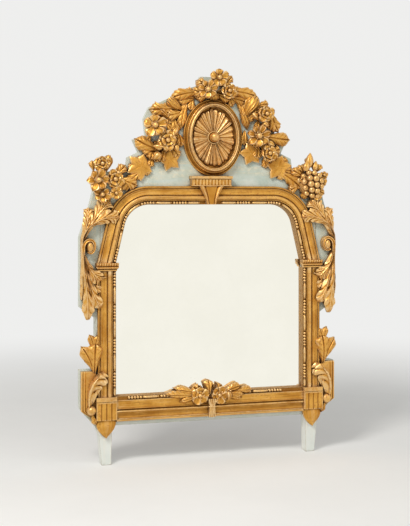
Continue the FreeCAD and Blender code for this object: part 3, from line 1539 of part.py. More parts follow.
def make_hanger():
    """A plate nailed to the crest board, an eye through it, and a loose ring in the eye."""
    half, rise = S.plate_width * 0.5, S.plate_height * 0.5
    back = CREST_BACK_Y + S.plate_thickness
    blank = box(-half, half, CREST_BACK_Y, back, S.eye_height - rise, S.eye_height + rise)
    drill(blank, hanger_holes(), "hanger_plate")
    group([make_plate_nail(x, z) for x, z in plate_nail_spots()], "hanger_nails")
    eye_y = (back + S.ring_wire_radius + S.ring_clearance).value
    bend, start = S.eye_bend_radius.value, (CREST_BACK_Y - EYE_LEG_LENGTH).value
    arc = []
    for i in range(EYE_STATIONS):
        angle = math.pi * i / (EYE_STATIONS - 1)
        arc.append(Vector(0, eye_y + bend * math.sin(angle), -bend * math.cos(angle)))
    points = [Vector(0, start, -bend), *arc, Vector(0, start, bend)]
    add_iron("hanger_eye", forged_loop(points, Vector(1, 0, 0), S.eye_wire_radius.value, closed=False))
    ring = []
    radius = S.ring_radius.value
    for i in range(HANGING_RING_STATIONS):
        angle = 2 * math.pi * (i + 0.5) / HANGING_RING_STATIONS
        ring.append(Vector(radius * math.sin(angle), eye_y, radius * math.cos(angle) - radius))
    add_iron("hanging_ring", forged_loop(ring, Vector(0, 1, 0), S.ring_wire_radius.value, closed=True))


def add_iron(name, solid):
    made = doc.addObject("Part::Feature", name)
    made.Shape = solid
    made.Placement.Base = Vector(0, 0, S.eye_height.value)
    keep(made, name)


def make_all():
    make_boards()
    make_glass()
    make_back_panel()
    group(sum(make_brads(), []), "panel_brads")
    for side in (LEFT, RIGHT):
        make_pilaster(side)
        make_capital(side)
        make_corner_block(side)
        make_pendant(side)
        make_side_carving(side)
        make_bracket(side)
    make_arch_moulding()
    make_bottom_moulding()
    make_beads()
    make_keystone()
    make_keystone_cap()
    make_medallion()
    make_garlands()
    make_shoulder_bouquets()
    make_bottom_bouquet()
    make_hanger()


def check_and_write():
    """Stops on any failed feature or bad shape, then writes each sub-part."""
    doc.recompute()
    failed = [o.Name for o in doc.Objects if {"Invalid", "Error"} & set(o.State)]
    if failed:
        raise RuntimeError(f"features failed: {failed}")
    for piece in pieces:
        if piece.Shape.isNull() or not piece.Shape.isValid():
            raise RuntimeError(f"{piece.Label} has a bad shape")
    os.makedirs("parts", exist_ok=True)
    for piece in pieces:
        piece.Shape.exportStep(f"parts/{piece.Label}.step")
    print(len(pieces), "sub-parts written")


make_all()
check_and_write()
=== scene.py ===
"""Looks of the pier mirror: carved and gilded wood, painted boards, silvered glass, and the studio round it.

Carving is drawn as a carver sees it, in millimetres: x to the right, z up, and relief, the height above
the front of the boards towards the viewer.
"""

import math

import bmesh
import bpy
import numpy as np
from mathutils import Matrix, Vector, noise


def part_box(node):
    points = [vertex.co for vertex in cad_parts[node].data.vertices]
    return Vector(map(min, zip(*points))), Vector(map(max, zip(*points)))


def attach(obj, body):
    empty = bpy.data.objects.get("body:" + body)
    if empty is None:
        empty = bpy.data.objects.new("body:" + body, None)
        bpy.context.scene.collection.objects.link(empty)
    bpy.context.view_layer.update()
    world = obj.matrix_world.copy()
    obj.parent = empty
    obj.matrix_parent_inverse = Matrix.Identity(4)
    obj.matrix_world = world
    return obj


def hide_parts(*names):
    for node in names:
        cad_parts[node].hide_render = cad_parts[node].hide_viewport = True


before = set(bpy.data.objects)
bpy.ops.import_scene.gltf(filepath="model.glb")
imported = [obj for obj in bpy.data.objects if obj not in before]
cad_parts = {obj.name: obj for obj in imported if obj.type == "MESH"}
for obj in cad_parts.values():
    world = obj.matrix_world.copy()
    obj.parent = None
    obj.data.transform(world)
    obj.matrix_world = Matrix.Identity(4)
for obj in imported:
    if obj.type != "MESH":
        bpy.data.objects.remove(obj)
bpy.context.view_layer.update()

MM = 0.001
TAU = 2 * math.pi
LEFT, RIGHT = -1, 1
SIDE_NAMES = {LEFT: "left", RIGHT: "right"}
BOARD_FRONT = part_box("left_stile_board")[0].y


def span(node):
    """A node's box in the carver's measures: x, z and relief, lowest and highest."""
    low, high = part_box(node)
    reliefs = (BOARD_FRONT - high.y) / MM, (BOARD_FRONT - low.y) / MM
    return (low.x / MM, high.x / MM), (low.z / MM, high.z / MM), reliefs


def middle_and_half(limits):
    """The middle between two limits, and half the way from one to the other."""
    return (limits[0] + limits[1]) / 2, (limits[1] - limits[0]) / 2


# Lines that the mouldings share
SIGHT_X = span("right_pilaster")[0][0]
SPRING_Z = span("right_pilaster")[1][1] + (span("right_capital")[1][1] - span("right_capital")[1][0])
SIGHT_TOP = span("arch_moulding")[1][1] - (span("right_pilaster")[0][1] - SIGHT_X)
GLASS_RELIEF = span("mirror_glass")[2][1]


# Shapes
# The gilding reads standing: it paints shade and dirt where standing is low, and a highlight where it is high.
class Carving:
    """The skins of one piece, with how far each point stands out: 0 in a hollow, 1 on a ridge. A run moulding also
    keeps each point's place along and across its run, which is zero elsewhere."""

    def __init__(self):
        self.points, self.faces, self.standing, self.runs = [], [], [], []
        self.rings, self.stands = [], []

    def skin(self, rings, standing, closed=False, runs=0.0):
        """Joins equal rings of points. A row that isn't closed gets a face at both its ends."""
        rings = np.asarray(rings, float)
        rows, count, _ = rings.shape
        first = len(self.points)
        self.points.extend(rings.reshape(-1, 3).tolist())
        self.standing.extend(np.broadcast_to(standing, (rows, count)).ravel().tolist())
        self.runs.extend(np.broadcast_to(runs, (rows, count, 3)).reshape(-1, 3).tolist())
        for row in range(rows if closed else rows - 1):
            here, there = first + row * count, first + (row + 1) % rows * count
            for k in range(count):
                after = (k + 1) % count
                self.faces.append((here + k, here + after, there + after, there + k))
        if not closed:
            self.faces.append(tuple(range(first, first + count)))
            self.faces.append(tuple(range(first + (rows - 1) * count, first + rows * count)))

    def row(self, line, relief, standing, under=(), foot=0.0):
        """Adds a ring to the skin in hand: a line in front view with its relief, and a line under it at the foot."""
        ring = np.column_stack((line, np.broadcast_to(relief, len(line))))
        if len(under):
            ring = np.vstack((ring, np.column_stack((under, np.full(len(under), foot)))))
        self.rings.append(ring)
        self.stands.append(np.append(np.clip(np.broadcast_to(standing, len(line)), 0, 1), np.zeros(len(under))))

    def join_rows(self):
        self.skin(self.rings, np.array(self.stands))
        self.rings, self.stands = [], []

    def take(self, other, points):
        """Adds another carving's skins with their points moved."""
        first = len(self.points)
        self.points.extend(points.tolist())
        self.faces.extend(tuple(first + corner for corner in face) for face in other.faces)
        self.standing.extend(other.standing)
        self.runs.extend(other.runs)


CREASE = math.radians(38)


def new_object(name, data):
    thing = bpy.data.objects.new(name, data)
    bpy.context.scene.collection.objects.link(thing)
    return thing


def make_piece(name, carving, finish, slot, nodes, body="carcase", unevenly=0.3, patch=14):
    """Makes the mesh of a piece, which rides on a body and stands for CAD nodes. Its relief is a little uneven over
    patches of a size, as a hand with a gouge leaves it."""
    points = np.array(carving.points)
    if unevenly:
        points[:, 2] += [unevenly * noise.noise(Vector(p) / patch) for p in points]
    world = np.column_stack((points[:, 0] * MM, BOARD_FRONT - points[:, 2] * MM, points[:, 1] * MM))
    mesh = bpy.data.meshes.new(name)
    mesh.from_pydata(world.tolist(), [], carving.faces)
    mesh.attributes.new("standing", "FLOAT", "POINT").data.foreach_set("value", np.array(carving.standing, np.float32))
    runs = np.array(carving.runs, np.float32).ravel()
    mesh.attributes.new("run", "FLOAT_VECTOR", "POINT").data.foreach_set("vector", runs)
    shell = bmesh.new()
    shell.from_mesh(mesh)
    bmesh.ops.recalc_face_normals(shell, faces=shell.faces)
    shell.to_mesh(mesh)
    shell.free()
    mesh.shade_smooth()
    mesh.set_sharp_from_angle(angle=CREASE)
    mesh.materials.append(finish)
    piece = new_object(name, mesh)
    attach(piece, body)
    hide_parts(*nodes)
    return piece


def bell(distance, width):
    return np.exp(-(np.asarray(distance, float) / width) ** 2)


def aside_of(ahead):
    """Directions square to the given ones, to the left and of length 1."""
    ahead = ahead / np.linalg.norm(ahead, axis=-1, keepdims=True)
    return np.stack((-ahead[..., 1], ahead[..., 0]), axis=-1)


def around(count):
    """Angles all round."""
    return np.linspace(0, TAU, count, endpoint=False)


def oval(x, z, wide, tall, turn):
    return np.column_stack((x + wide * np.cos(turn), z + tall * np.sin(turn)))


def distances(places):
    """How far along its line each place lies."""
    return np.append(0, np.cumsum(np.linalg.norm(np.diff(np.array(places, float), axis=0), axis=1)))


def on_line(line, at, marks=None):
    """Places on a line where its marks have given values. Its marks are its places' numbers, if none are given."""
    marks = range(len(line)) if marks is None else marks
    return np.column_stack([np.interp(at, marks, line[:, k]) for k in (0, 1)])


def section(parts):
    """A moulding's outline from parts (across, relief, bulge): the bulge of its arc over a straight line."""
    line = [parts[0][:2]]
    for across, relief, bulge in parts[1:]:
        before = line[-1]
        steps = 1 if bulge == 0 else 9
        for step in range(1, steps + 1):
            share = step / steps
            turn = (1 - math.cos(math.pi * share)) / 2 if bulge else share
            rise = bulge * math.sin(math.pi * share) if bulge else 0
            line.append((before[0] + (across - before[0]) * turn, before[1] + (relief - before[1]) * turn + rise))
    return np.array(line)


# Where the places along and across a run start, so that they are never zero
RUN_START = 37.3


def run_moulding(carving, outline, bases, directions):
    """Runs a moulding's outline along a path of bases, each with the direction across the moulding."""
    rings = []
    for base, direction in zip(bases, directions):
        across = outline[:, :1] * np.array(direction)[None] + np.array(base)[None]
        rings.append(np.column_stack((across, outline[:, 1])))
    top = outline[:, 1].max()
    standing = 0.72 * np.clip((outline[:, 1] - top * 0.45) / (top * 0.5), 0, 1)
    along, over = distances(bases) + RUN_START, distances(outline) + RUN_START
    runs = np.stack(np.broadcast_arrays(along[:, None], over[None], RUN_START), axis=-1)
    carving.skin(rings, standing[None], runs=runs)


def field(carving, rows, relief, columns, standing):
    """A carved block in front view. Rows are (z, left x, right x), and relief and standing follow shares and z."""
    shares = np.linspace(0, 1, columns)
    for z, left, right in rows:
        line = np.column_stack((left + (right - left) * shares, np.full(columns, z)))
        carving.row(line, relief(shares, z), standing(shares, z), [(right, z), (left, z)])
    carving.join_rows()


def turned(carving, x, z, size, levels, standing, sides):
    """A turned form, round or oval. Levels are (share of its half width and height, relief)."""
    turn = around(sides)
    rings = []
    for out, up in levels:
        rings.append(np.column_stack((oval(x, z, size[0] * out, size[1] * out, turn), np.full(sides, up))))
    carving.skin(rings, np.linspace(*standing, len(rings))[:, None])


# How far short of a ball's poles its rings stop, in radians
POLE_GAP = 0.06


def ball(carving, x, z, relief, radius, sides=14, rows=9, squash=1.0, standing=0.8):
    """A round bead. Its relief is that of its middle."""
    tilts = np.linspace(POLE_GAP, math.pi - POLE_GAP, rows)
    levels = [(math.sin(tilt), relief + radius * squash * math.cos(tilt)) for tilt in tilts]
    turned(carving, x, z, (radius, radius), levels, (standing, 0.1), sides)


def rod(carving, places, radii, sides, standing=0.6):
    """A round rod through places (x, z, relief), with a radius at each."""
    places = [Vector(p) for p in places]
    rings = []
    for i, place in enumerate(places):
        ahead = (places[min(i + 1, len(places) - 1)] - places[max(i - 1, 0)]).normalized()
        side = ahead.cross(Vector((0, 0, 1)))
        side = side.normalized() if side.length > 0.05 else Vector((1, 0, 0))
        up = side.cross(ahead).normalized()
        rings.append([place + radii[i] * (side * math.cos(t) + up * math.sin(t)) for t in around(sides)])
    carving.skin(rings, standing)


def post(carving, x, z, relief, low_radius, high_radius):
    """What carries a bud or a berry, from the ground up."""
    # Its low standing makes the gilding paint the post dark, as shade under what it carries.
    rod(carving, ((x, z, 0), (x, z, relief)), (low_radius, high_radius), 10, 0.05)


# Leaves

# Fluted leaves: number of flutes, how wide the leaf starts, where it is widest, how its end closes (0 blunt, 1 in
# a point), how deep the end is notched between flutes, how high the pipes between flutes stand, and the rib on them
FLUTED_FORMS = {
    "raffled": (4, 0.3, 0.72, 0.34, 0.3, 1.7, 0.9),
    "fan": (5, 0.22, 0.8, 0.22, 0.24, 1.6, 0.0),
}
# Veined leaves: veins on each side, where the leaf is widest, how deep its edge is toothed, how deep veins are, and
# how much its ends are drawn out
VEINED_FORMS = {
    "plain": (3, 0.5, 0.07, 0.5, 1.2),
    "broad": (5, 0.62, 0.03, 0.2, 0.7),
    "laurel": (6, 0.46, 0.09, 0.9, 1.35),
    "veined": (5, 0.42, 0.22, 1.7, 1.3),
    "toothed": (4, 0.44, 0.32, 2.2, 1.4),
}
# The half width of the leaf that depths of veins and pipes are given for
DRAWN_HALF_WIDTH = 18


def bowed(start, tip, bend):
    """A bowed line, as a function that gives places and directions aside for shares of its length."""
    start, tip = np.array(start, float), np.array(tip, float)
    middle = (start + tip) / 2 + np.array((start[1] - tip[1], tip[0] - start[0])) * bend

    def at(shares):
        share = np.asarray(shares)[:, None]
        place = start * (1 - share) ** 2 + middle * 2 * share * (1 - share) + tip * share ** 2
        return place, aside_of((middle - start) * (1 - share) + (tip - middle) * share)

    return at, np.linalg.norm(tip - start)


def ridge_at(share, heights, foot):
    """The relief of a leaf's ridge, from its heights at the stalk, in the middle and at the tip."""
    rise = heights[0] * (1 - share) ** 2 + heights[1] * 2.5 * share * (1 - share) + heights[2] * share ** 2
    return np.maximum(rise, foot + 2)


def columns_at(shares, count):
    """The columns nearest to shares across, which run from -1 to 1."""
    return np.round((np.array(shares) + 1) / 2 * (count - 1)).astype(int)


def veined_leaf(carving, start, tip, half_width, form, bend, heights, foot=0.0, edge=0.5):
    """A leaf with a sunk rib, from which veins run slanting to the notches of its toothed edge."""
    veins, widest, notch, depth, drawn = VEINED_FORMS[form]
    line, length = bowed(start, tip, bend)
    across = np.linspace(-1, 1, 25)
    reach = np.abs(across)
    picks = columns_at((0.83, 0.33, -0.33, -0.83), len(across))
    scale = half_width / DRAWN_HALF_WIDTH
    for row in np.linspace(0, 1, veins * 7 + 1):
        phase = (row * veins) % 1.0 if row < 1 else 1.0
        tooth = 1 - notch * (1 - phase) ** 1.3
        swell = math.sin(math.pi * row ** (math.log(0.5) / math.log(widest))) ** drawn
        width = half_width * (0.22 * (1 - row) + 0.98 * swell)
        out = across * width * (1 - reach ** 3 * (1 - tooth))
        place, aside = line(row + np.minimum(width * reach / length, (1 - row) * 0.55))
        ridge = ridge_at(row, heights, foot)
        low = foot + (ridge - foot) * edge
        vein = (math.cos(TAU * phase) * 0.5 + 0.5) ** 3 * np.clip(reach * 3, 0, 1)
        rib = bell(out, 1.2 * scale + 0.4)
        top = ridge - (ridge - low) * reach ** 2.4 + 2.2 * scale * np.sin(reach * math.pi) - 1.9 * scale * rib
        top = np.maximum(top - depth * scale * vein * (0.4 + 0.6 * reach), foot + 1)
        below = place[picks] + aside[picks] * (0.9 * out[picks])[:, None]
        standing = 0.72 - 0.6 * vein - 0.6 * rib + 0.3 * bell(reach - 0.86, 0.16)
        carving.row(place + aside * out[:, None], top, standing, below, foot)
    carving.join_rows()


def fluted_leaf(carving, start, tip, half_width, form, bend, heights, foot=0.0, edge=0.5):
    """A leaf fluted from its stalk to its rim, with a notch in the rim at each pipe."""
    flutes, base, widest, closing, notch, pipe, rib = FLUTED_FORMS[form]
    line, _ = bowed(start, tip, bend)
    across = np.linspace(-1, 1, flutes * 8 + 1)
    reach = np.abs(across)
    wave = np.cos if flutes % 2 else np.sin
    between = 1 - np.abs(wave(across * math.pi * flutes / 2))
    ends = np.sqrt(1 - reach ** 2 * 0.999)
    extent = (1 - closing * 0.35 * reach ** 1.3) - notch * between ** 2.2 * (reach < 0.97) - 0.25 * (1 - ends)
    under = np.array((0.82, 0.3, -0.3, -0.82))
    picks = columns_at(under, len(across))
    swell = pipe * half_width / DRAWN_HALF_WIDTH
    for row in np.linspace(0, 1, 30):
        share = np.clip(row * extent, 0, 1)
        grown = np.sin(np.minimum(1, share / widest) * math.pi / 2)
        past = np.clip((share - widest) / (1 - widest), 0, 1)
        width = half_width * (base + (1 - base) * grown ** 1.15) * (1 - closing * past ** 1.6)
        place, aside = line(share)
        ridge = ridge_at(share, heights, foot)
        low = foot + (ridge - foot) * edge
        top = low + (ridge - low) * (1 - reach ** 2.2)
        top = top + swell * (between ** 1.6 - 0.45) * np.minimum(1, 4 * row) * (1 - 0.5 * row ** 4)
        top = top + rib * swell * bell(reach * width, 1.3) - 1.6 * swell * bell(row - 1, 0.07)
        below = place[picks] + aside[picks] * (under * width[picks])[:, None]
        standing = 0.3 + 0.7 * between ** 1.3 - 0.25 * reach ** 4
        standing = standing + 0.35 * bell(row - 0.93, 0.06) - 0.3 * bell(row, 0.12)
        carving.row(place + aside * (across * width)[:, None], top, standing, below, foot)
    carving.join_rows()


LINE_COUNT = 200


def smooth_line(points):
    """Evenly spread places on a smooth line through the given ones, and on past its end for a tenth more."""
    known = np.array(points, float)
    known = np.vstack((2 * known[0] - known[1], known, 2 * known[-1] - known[-2]))
    dense = []
    for a, b, c, d in zip(known, known[1:], known[2:], known[3:]):
        for t in np.linspace(0, 1, 24, endpoint=False):
            curve = (2 * a - 5 * b + 4 * c - d) * t ** 2 + (3 * b - a - 3 * c + d) * t ** 3
            dense.append(0.5 * (2 * b + (c - a) * t + curve))
    dense = np.array(dense + [known[-2]])
    walked = distances(dense)
    places = on_line(dense, np.linspace(0, walked[-1], LINE_COUNT), walked)
    ahead = (places[-1] - places[-4]) / 3
    return np.vstack((places, places[-1] + ahead * np.arange(1, LINE_COUNT // 8)[:, None])), walked[-1]


# Acanthus leaves: how deep the rim is cut between lobes, and how high pipes stand over the cuts
LOBE_DEPTH = 0.42
PIPE_RELIEF = 2.3


def acanthus(carving, spine, widths, heights, lobes, pipes, foot, slant):
    """A leaf along a curved rib. Pipes run close along the rib and open out into rounded lobes at its rim.
    Widths are a table for the left side of the rib and one for its right side, by shares of its length."""
    line, length = smooth_line(spine)
    asides = aside_of(np.gradient(line, axis=0))
    across = np.linspace(-1, 1, 31)
    reach = np.abs(across)
    picks = columns_at((0.85, 0.3, -0.3, -0.85), len(across))
    open_out = np.clip(reach * 1.5, 0, 1)
    for share in np.linspace(0, 1, lobes * pipes * 8 + 1):
        phase = (share * lobes) % 1.0 if share < 1 else 1.0
        lobe = math.sin(math.pi * phase) ** 0.5 if 0 < phase < 1 else 0.0
        pipe = abs(math.sin(math.pi * phase * pipes))
        outline = (1 - LOBE_DEPTH * (1 - lobe)) * (1 - 0.14 * (1 - pipe ** 0.5))
        left, right = [np.interp(share * (len(side) - 1), range(len(side)), side) for side in widths]
        width = np.where(across < 0, right, left)
        shift = slant * width / length * np.sin(reach * math.pi / 2) * min(1, share * 5) * (1 - 0.45 * share)
        out = across * width * (0.45 + 0.55 * reach ** 0.8) * (1 - reach ** 3 * (1 - outline))
        at = np.clip((share + shift) * (LINE_COUNT - 1), 0, len(line) - 1)
        place, aside = on_line(line, at), on_line(asides, at)
        ridge = np.interp(share * 2, (0, 1, 2), heights)
        scale = np.clip(width, 5, 18) / 16
        off = np.abs(out)
        lift = ridge - (ridge - foot) * 0.4 * reach ** 1.5 + 2.2 * scale * reach ** 6
        lift += PIPE_RELIEF * scale * (pipe ** 0.8 - 0.6) * open_out
        lift -= 1.4 * PIPE_RELIEF * scale * (1 - lobe) ** 3 * np.clip(reach * 1.6 - 0.2, 0, 1)
        lift += 1.6 * bell(off, 1.7) - 1.4 * bell(off - 3.2, 1.3) * (width > 6)
        below = place[picks] + aside[picks] * (0.93 * out[picks])[:, None]
        standing = 0.62 + 0.5 * pipe ** 1.2 * open_out + 0.35 * bell(reach - 0.92, 0.1) + 0.5 * bell(off, 2)
        standing = standing - 0.55 * (1 - lobe) ** 3 * open_out
        carving.row(place + aside * out[:, None], np.maximum(lift, foot + 1), standing, below, foot)
    carving.join_rows()


# Ivy leaves: each lobe's angle from the tip's direction and its length, how far in the edge runs between them, and
# the relief in the middle and at the rim
LOBES = ((-128, 0.82), (-64, 0.97), (0, 1.0), (64, 0.97), (128, 0.82))
LOBE_NOTCH = 0.66
STALK_NOTCH = 0.5
IVY_HEIGHTS = (15, 11)


def ivy_reach(turn):
    """How far an ivy leaf reaches in a direction, in radians from its tip: straight edges between its points."""
    corners = [(-180, STALK_NOTCH)]
    for (angle, length), (after, next_length) in zip(LOBES, LOBES[1:] + ((230, 0),)):
        corners += [(angle - 9, 0.87 * length), (angle, 1.04 * length), (angle + 9, 0.87 * length)]
        if next_length:
            corners.append(((angle + after) / 2, LOBE_NOTCH * (length + next_length) / 2))
    corners.append((180, STALK_NOTCH))
    angles, lengths = np.array(corners).T
    return np.interp(np.degrees((turn + math.pi) % TAU - math.pi), angles, lengths)


def ivy_leaf(carving, centre, heading, reach):
    """A broad leaf with five lobes. Its heading is in degrees from +X."""
    turn = around(150)
    radius = ivy_reach(turn) * reach
    facing = math.radians(heading)
    rim = np.column_stack((np.cos(turn), np.sin(turn)))
    over, up = math.cos(facing), math.sin(facing)
    rim = rim @ np.array(((over, up), (-up, over))) * radius[:, None]
    middle, edge = IVY_HEIGHTS
    for share in np.linspace(0.03, 1, 16):
        groove, swell = np.zeros(len(turn)), np.zeros(len(turn))
        for angle, length in LOBES:
            off = (turn - math.radians(angle) + math.pi) % TAU - math.pi
            beside = radius * share * np.abs(np.sin(off))
            ahead = np.cos(off) > 0
            groove = np.maximum(groove, bell(beside, 1.3) * ahead * min(1, share * 3) * (1 - 0.6 * share))
            swell = np.maximum(swell, bell(beside - reach * 0.15, reach * 0.13) * ahead * share * length)
        lift = edge + (middle - edge) * (1 - share ** 2) - 1.1 * groove + 0.5 * swell - 1.6 * bell(share - 1, 0.08)
        carving.row(centre + rim * share, lift, 0.6 + 0.15 * swell - 0.6 * groove + 0.25 * (share > 0.9))
    for share in (0.95, 0.1):
        carving.row(centre + rim * share, 0, 0)
    carving.join_rows()


# Flowers: stamens, and for each layer the number of petals, its radius as a share, its drop below the top, how
# far petals rise out of the heart, how far their tips fall, their width, and how pointed they are
FLOWER_FORMS = {
    "dog_rose": (0, (5, 1.0, 4.0, 7.0, 3.5, 1.0, 0.0)),
    "anemone": (0, (6, 1.0, 5.0, 8.0, 5.0, 1.05, 0.8)),
    "daisy": (9, (7, 1.0, 4.0, 7.0, 5.0, 1.05, 0.25)),
    "rose": (0, (5, 1.0, 8.0, 6.0, 5.0, 1.1, 0.2), (4, 0.6, 1.5, 7.0, 0.5, 1.1, 0.0)),
    "small": (0, (5, 1.0, 4.0, 6.0, 4.0, 1.05, 0.2)),
    "flat_rose": (0, (5, 1.0, 1.0, 2.0, 1.5, 1.2, 0.0), (4, 0.5, 0.0, 2.0, 1.0, 1.1, 0.0)),
}
# The radius of the flower that those reliefs are given for
DRAWN_RADIUS = 34
PETAL_SHARES = (0, 0.15, 0.35, 0.55, 0.72, 0.85, 0.94, 1.0)
ROUND_PETAL = (0.26, 0.4, 0.7, 0.95, 1.0, 0.84, 0.56, 0.16)
POINTED_PETAL = (0.3, 0.5, 0.85, 1.0, 0.78, 0.46, 0.22, 0.04)


def petal(carving, x, z, angle, radius, inner, half_width, top, rise, fall, pointed):
    """One petal: cupped, its rim rolled, one side under its neighbour and the other over it."""
    ahead = np.array((math.cos(angle), math.sin(angle)))
    beside = np.array((-ahead[1], ahead[0]))
    across = np.linspace(-1, 1, 11)
    scale = radius / DRAWN_RADIUS
    shape = np.array(ROUND_PETAL) * (1 - pointed) + np.array(POINTED_PETAL) * pointed
    for share in np.linspace(0, 1, 12):
        width = half_width * np.interp(share, PETAL_SHARES, shape)
        place = np.array((x, z)) + ahead * (inner + (radius - inner) * share)
        notch = -0.1 * radius * bell(across, 0.28) * share ** 6 * (1 - pointed)
        flat = place + beside * (across * width)[:, None] + ahead * notch[:, None]
        height = top - rise * max(0, 1 - share / 0.75) ** 1.5 - fall * max(0, (share - 0.75) / 0.25) ** 2
        cup = (3.4 * across ** 2 - 4.6 * across ** 8 + 4.0 * across) * scale * min(1, share * 2.5)
        folds = np.cos(across * math.pi * 3) * min(1, share * 1.6)
        lift = height + cup + 1.2 * scale * folds - 1.4 * scale * bell(across, 0.14) * math.sin(math.pi * share)
        under = place + beside * (np.array((0.72, 0, -0.72)) * width)[:, None]
        standing = 0.15 + 0.6 * share + 0.35 * across ** 2 - 0.25 * bell(across, 0.16)
        carving.row(flat, lift, standing, under, height - 6.5 * scale)
    carving.join_rows()


def flower(carving, x, z, radius, top, form, lean, foot, turn):
    """An open flower on its own post: layers of petals round a heart with a ring of stamens. It leans by slopes
    along x and z."""
    stamens, *layers = FLOWER_FORMS[form]
    heart = max(0.22 * radius, 4.5)
    scale = radius / DRAWN_RADIUS
    blank = Carving()
    for number, (petals, share, drop, rise, fall, wide, pointed) in enumerate(layers):
        out = radius * share
        half = out * math.tan(math.pi / petals) * 0.62 * wide
        for k in range(petals):
            angle = turn + TAU * (k + number * 0.5) / petals
            uneven = 1 - 0.07 * ((k * 2 + number) % 3)
            level = top - 3 - (drop + 3.0 * ((k * 3 + number) % 4) / 3) * scale
            petal(blank, x, z, angle, out * uneven, heart * 0.6, half, level, rise * scale, fall * scale, pointed)
    ball(blank, x, z, top - heart, heart * 1.05, 16, 10, standing=0.9)
    for angle in around(stamens) if stamens else ():
        reach = heart * 1.25
        ball(blank, x + reach * math.cos(angle), z + reach * math.sin(angle), top - heart * 1.15, heart * 0.24, 6, 5)
    under = top - 3 - (layers[0][2] + 3) * scale - 7
    # The post is marked low, so the gilding paints it dark as shade under the petals.
    rod(blank, ((x, z, foot), (x, z, foot + (under - foot) * 0.55), (x, z, under), (x, z, under + 3)),
        (radius * 0.27, radius * 0.24, radius * 0.6, radius * 0.5), 16, 0.05)
    points = np.array(blank.points)
    upper = np.clip(points[:, 2] / max(points[:, 2].max(), 1), 0, 1) ** 2
    points[:, 2] += ((points[:, 0] - x) * lean[0] + (points[:, 1] - z) * lean[1]) * upper
    carving.take(blank, points)


BUD_GROOVES = 5


def bud(carving, start, tip, radius, relief):
    """A closed bud on its side, with its sepals as grooves."""
    start, tip = np.array((*start, relief), float), np.array((*tip, relief), float)
    aside = np.append(aside_of(tip[:2] - start[:2]), 0)
    turn = around(30)
    for share in np.linspace(0, 1, 13):
        swell = math.sin(math.pi * (0.08 + 0.9 * share) ** 0.8) ** 0.8
        ridges = 1 - 0.16 * np.abs(np.cos(turn * BUD_GROOVES / 2)) ** 6 * math.sin(math.pi * share)
        out = aside * np.cos(turn)[:, None] + np.array((0, 0, 1)) * np.sin(turn)[:, None]
        ring = start + (tip - start) * share + radius * swell * ridges[:, None] * out
        carving.row(ring[:, :2], ring[:, 2], 0.3 + 0.6 * np.sin(turn) - (1 - ridges) * 3)
    carving.join_rows()


def add_leaves(carving, rows, foot=0.0, edge=0.5):
    """Leaves from rows of (form, start, tip, half width, bow, heights)."""
    for form, start, tip, half_width, bend, heights in rows:
        carve = veined_leaf if form in VEINED_FORMS else fluted_leaf
        carve(carving, start, tip, half_width, form, bend, heights, foot, edge)


def add_flowers(carving, rows, foot):
    """Flowers from rows of (x, z, radius, relief, form, lean), each turned a little further than the last."""
    for number, row in enumerate(rows):
        flower(carving, *row, foot, 0.3 + number * 0.8)


def add_buds(carving, rows):
    """Buds on their posts, from rows of (start, tip, radius, relief)."""
    for start, tip, radius, relief in rows:
        bud(carving, start, tip, radius, relief)
        post(carving, (start[0] + tip[0]) / 2, (start[1] + tip[1]) / 2, relief, radius * 0.6, radius * 0.6)


# Finishes
class Nodes:
    """Adds nodes to a tree and joins them. A socket's value is a number, a colour or another node's output."""

    def __init__(self, tree):
        self.tree = tree

    def feed(self, node, name, value):
        if isinstance(value, bpy.types.NodeSocket):
            self.tree.links.new(value, node.inputs[name])
        else:
            node.inputs[name].default_value = value

    def add(self, kind, settings=(), **sockets):
        """Adds a node. A socket is named with _ for each space, or n and its number."""
        node = self.tree.nodes.new(kind)
        for name, value in dict(settings).items():
            setattr(node, name, value)
        for name, value in sockets.items():
            self.feed(node, int(name[1:]) if name[1:].isdigit() else name.replace("_", " "), value)
        return node

    def maths(self, operation, first, second=0.0, clamp=False):
        settings = {"operation": operation, "use_clamp": clamp}
        return self.add("ShaderNodeMath", settings, n0=first, n1=second).outputs[0]

    def times(self, first, second, clamp=False):
        return self.maths("MULTIPLY", first, second, clamp)

    def plus(self, first, second):
        return self.maths("ADD", first, second)

    def minus(self, first, second, clamp=False):
        return self.maths("SUBTRACT", first, second, clamp)

    def most(self, first, second):
        return self.maths("MAXIMUM", first, second)

    def blend(self, share, first, second):
        return self.add("ShaderNodeMix", {"data_type": "RGBA"}, n0=share, n6=first, n7=second).outputs[2]

    def cover(self, below, mask, amount, colour):
        """Lays a colour over another one where a mask is, as far as an amount."""
        return self.blend(self.times(mask, amount), below, colour)

    def spread(self, value, low, high):
        """Stretches a value from between low and high to 0 to 1, smoothly."""
        settings = {"interpolation_type": "SMOOTHSTEP"}
        return self.add("ShaderNodeMapRange", settings, Value=value, From_Min=low, From_Max=high).outputs[0]

    def noise(self, place, **sockets):
        """Noise at a place. A W picks one of many."""
        settings = {"noise_dimensions": "4D"} if "W" in sockets else {}
        return self.add("ShaderNodeTexNoise", settings, Vector=place, **sockets).outputs[0]

    def stretch(self, place, scale):
        return self.add("ShaderNodeMapping", Vector=place, Scale=scale).outputs[0]

    def where(self, kind="Object"):
        return self.add("ShaderNodeTexCoord").outputs[kind]

    def part(self, vector, axis):
        return self.add("ShaderNodeSeparateXYZ", n0=vector).outputs[axis]

    def use(self, group, **sockets):
        return self.add("ShaderNodeGroup", {"node_tree": group}, **sockets).outputs

    def finish(self, shader, height, strength, distance, **sockets):
        """Joins a finish to its shader: its sockets, and bumps of a height."""
        bump = self.add("ShaderNodeBump", Strength=strength, Distance=distance, Height=height).outputs[0]
        for name, value in dict(sockets, Normal=bump).items():
            self.feed(shader, name.replace("_", " "), value)


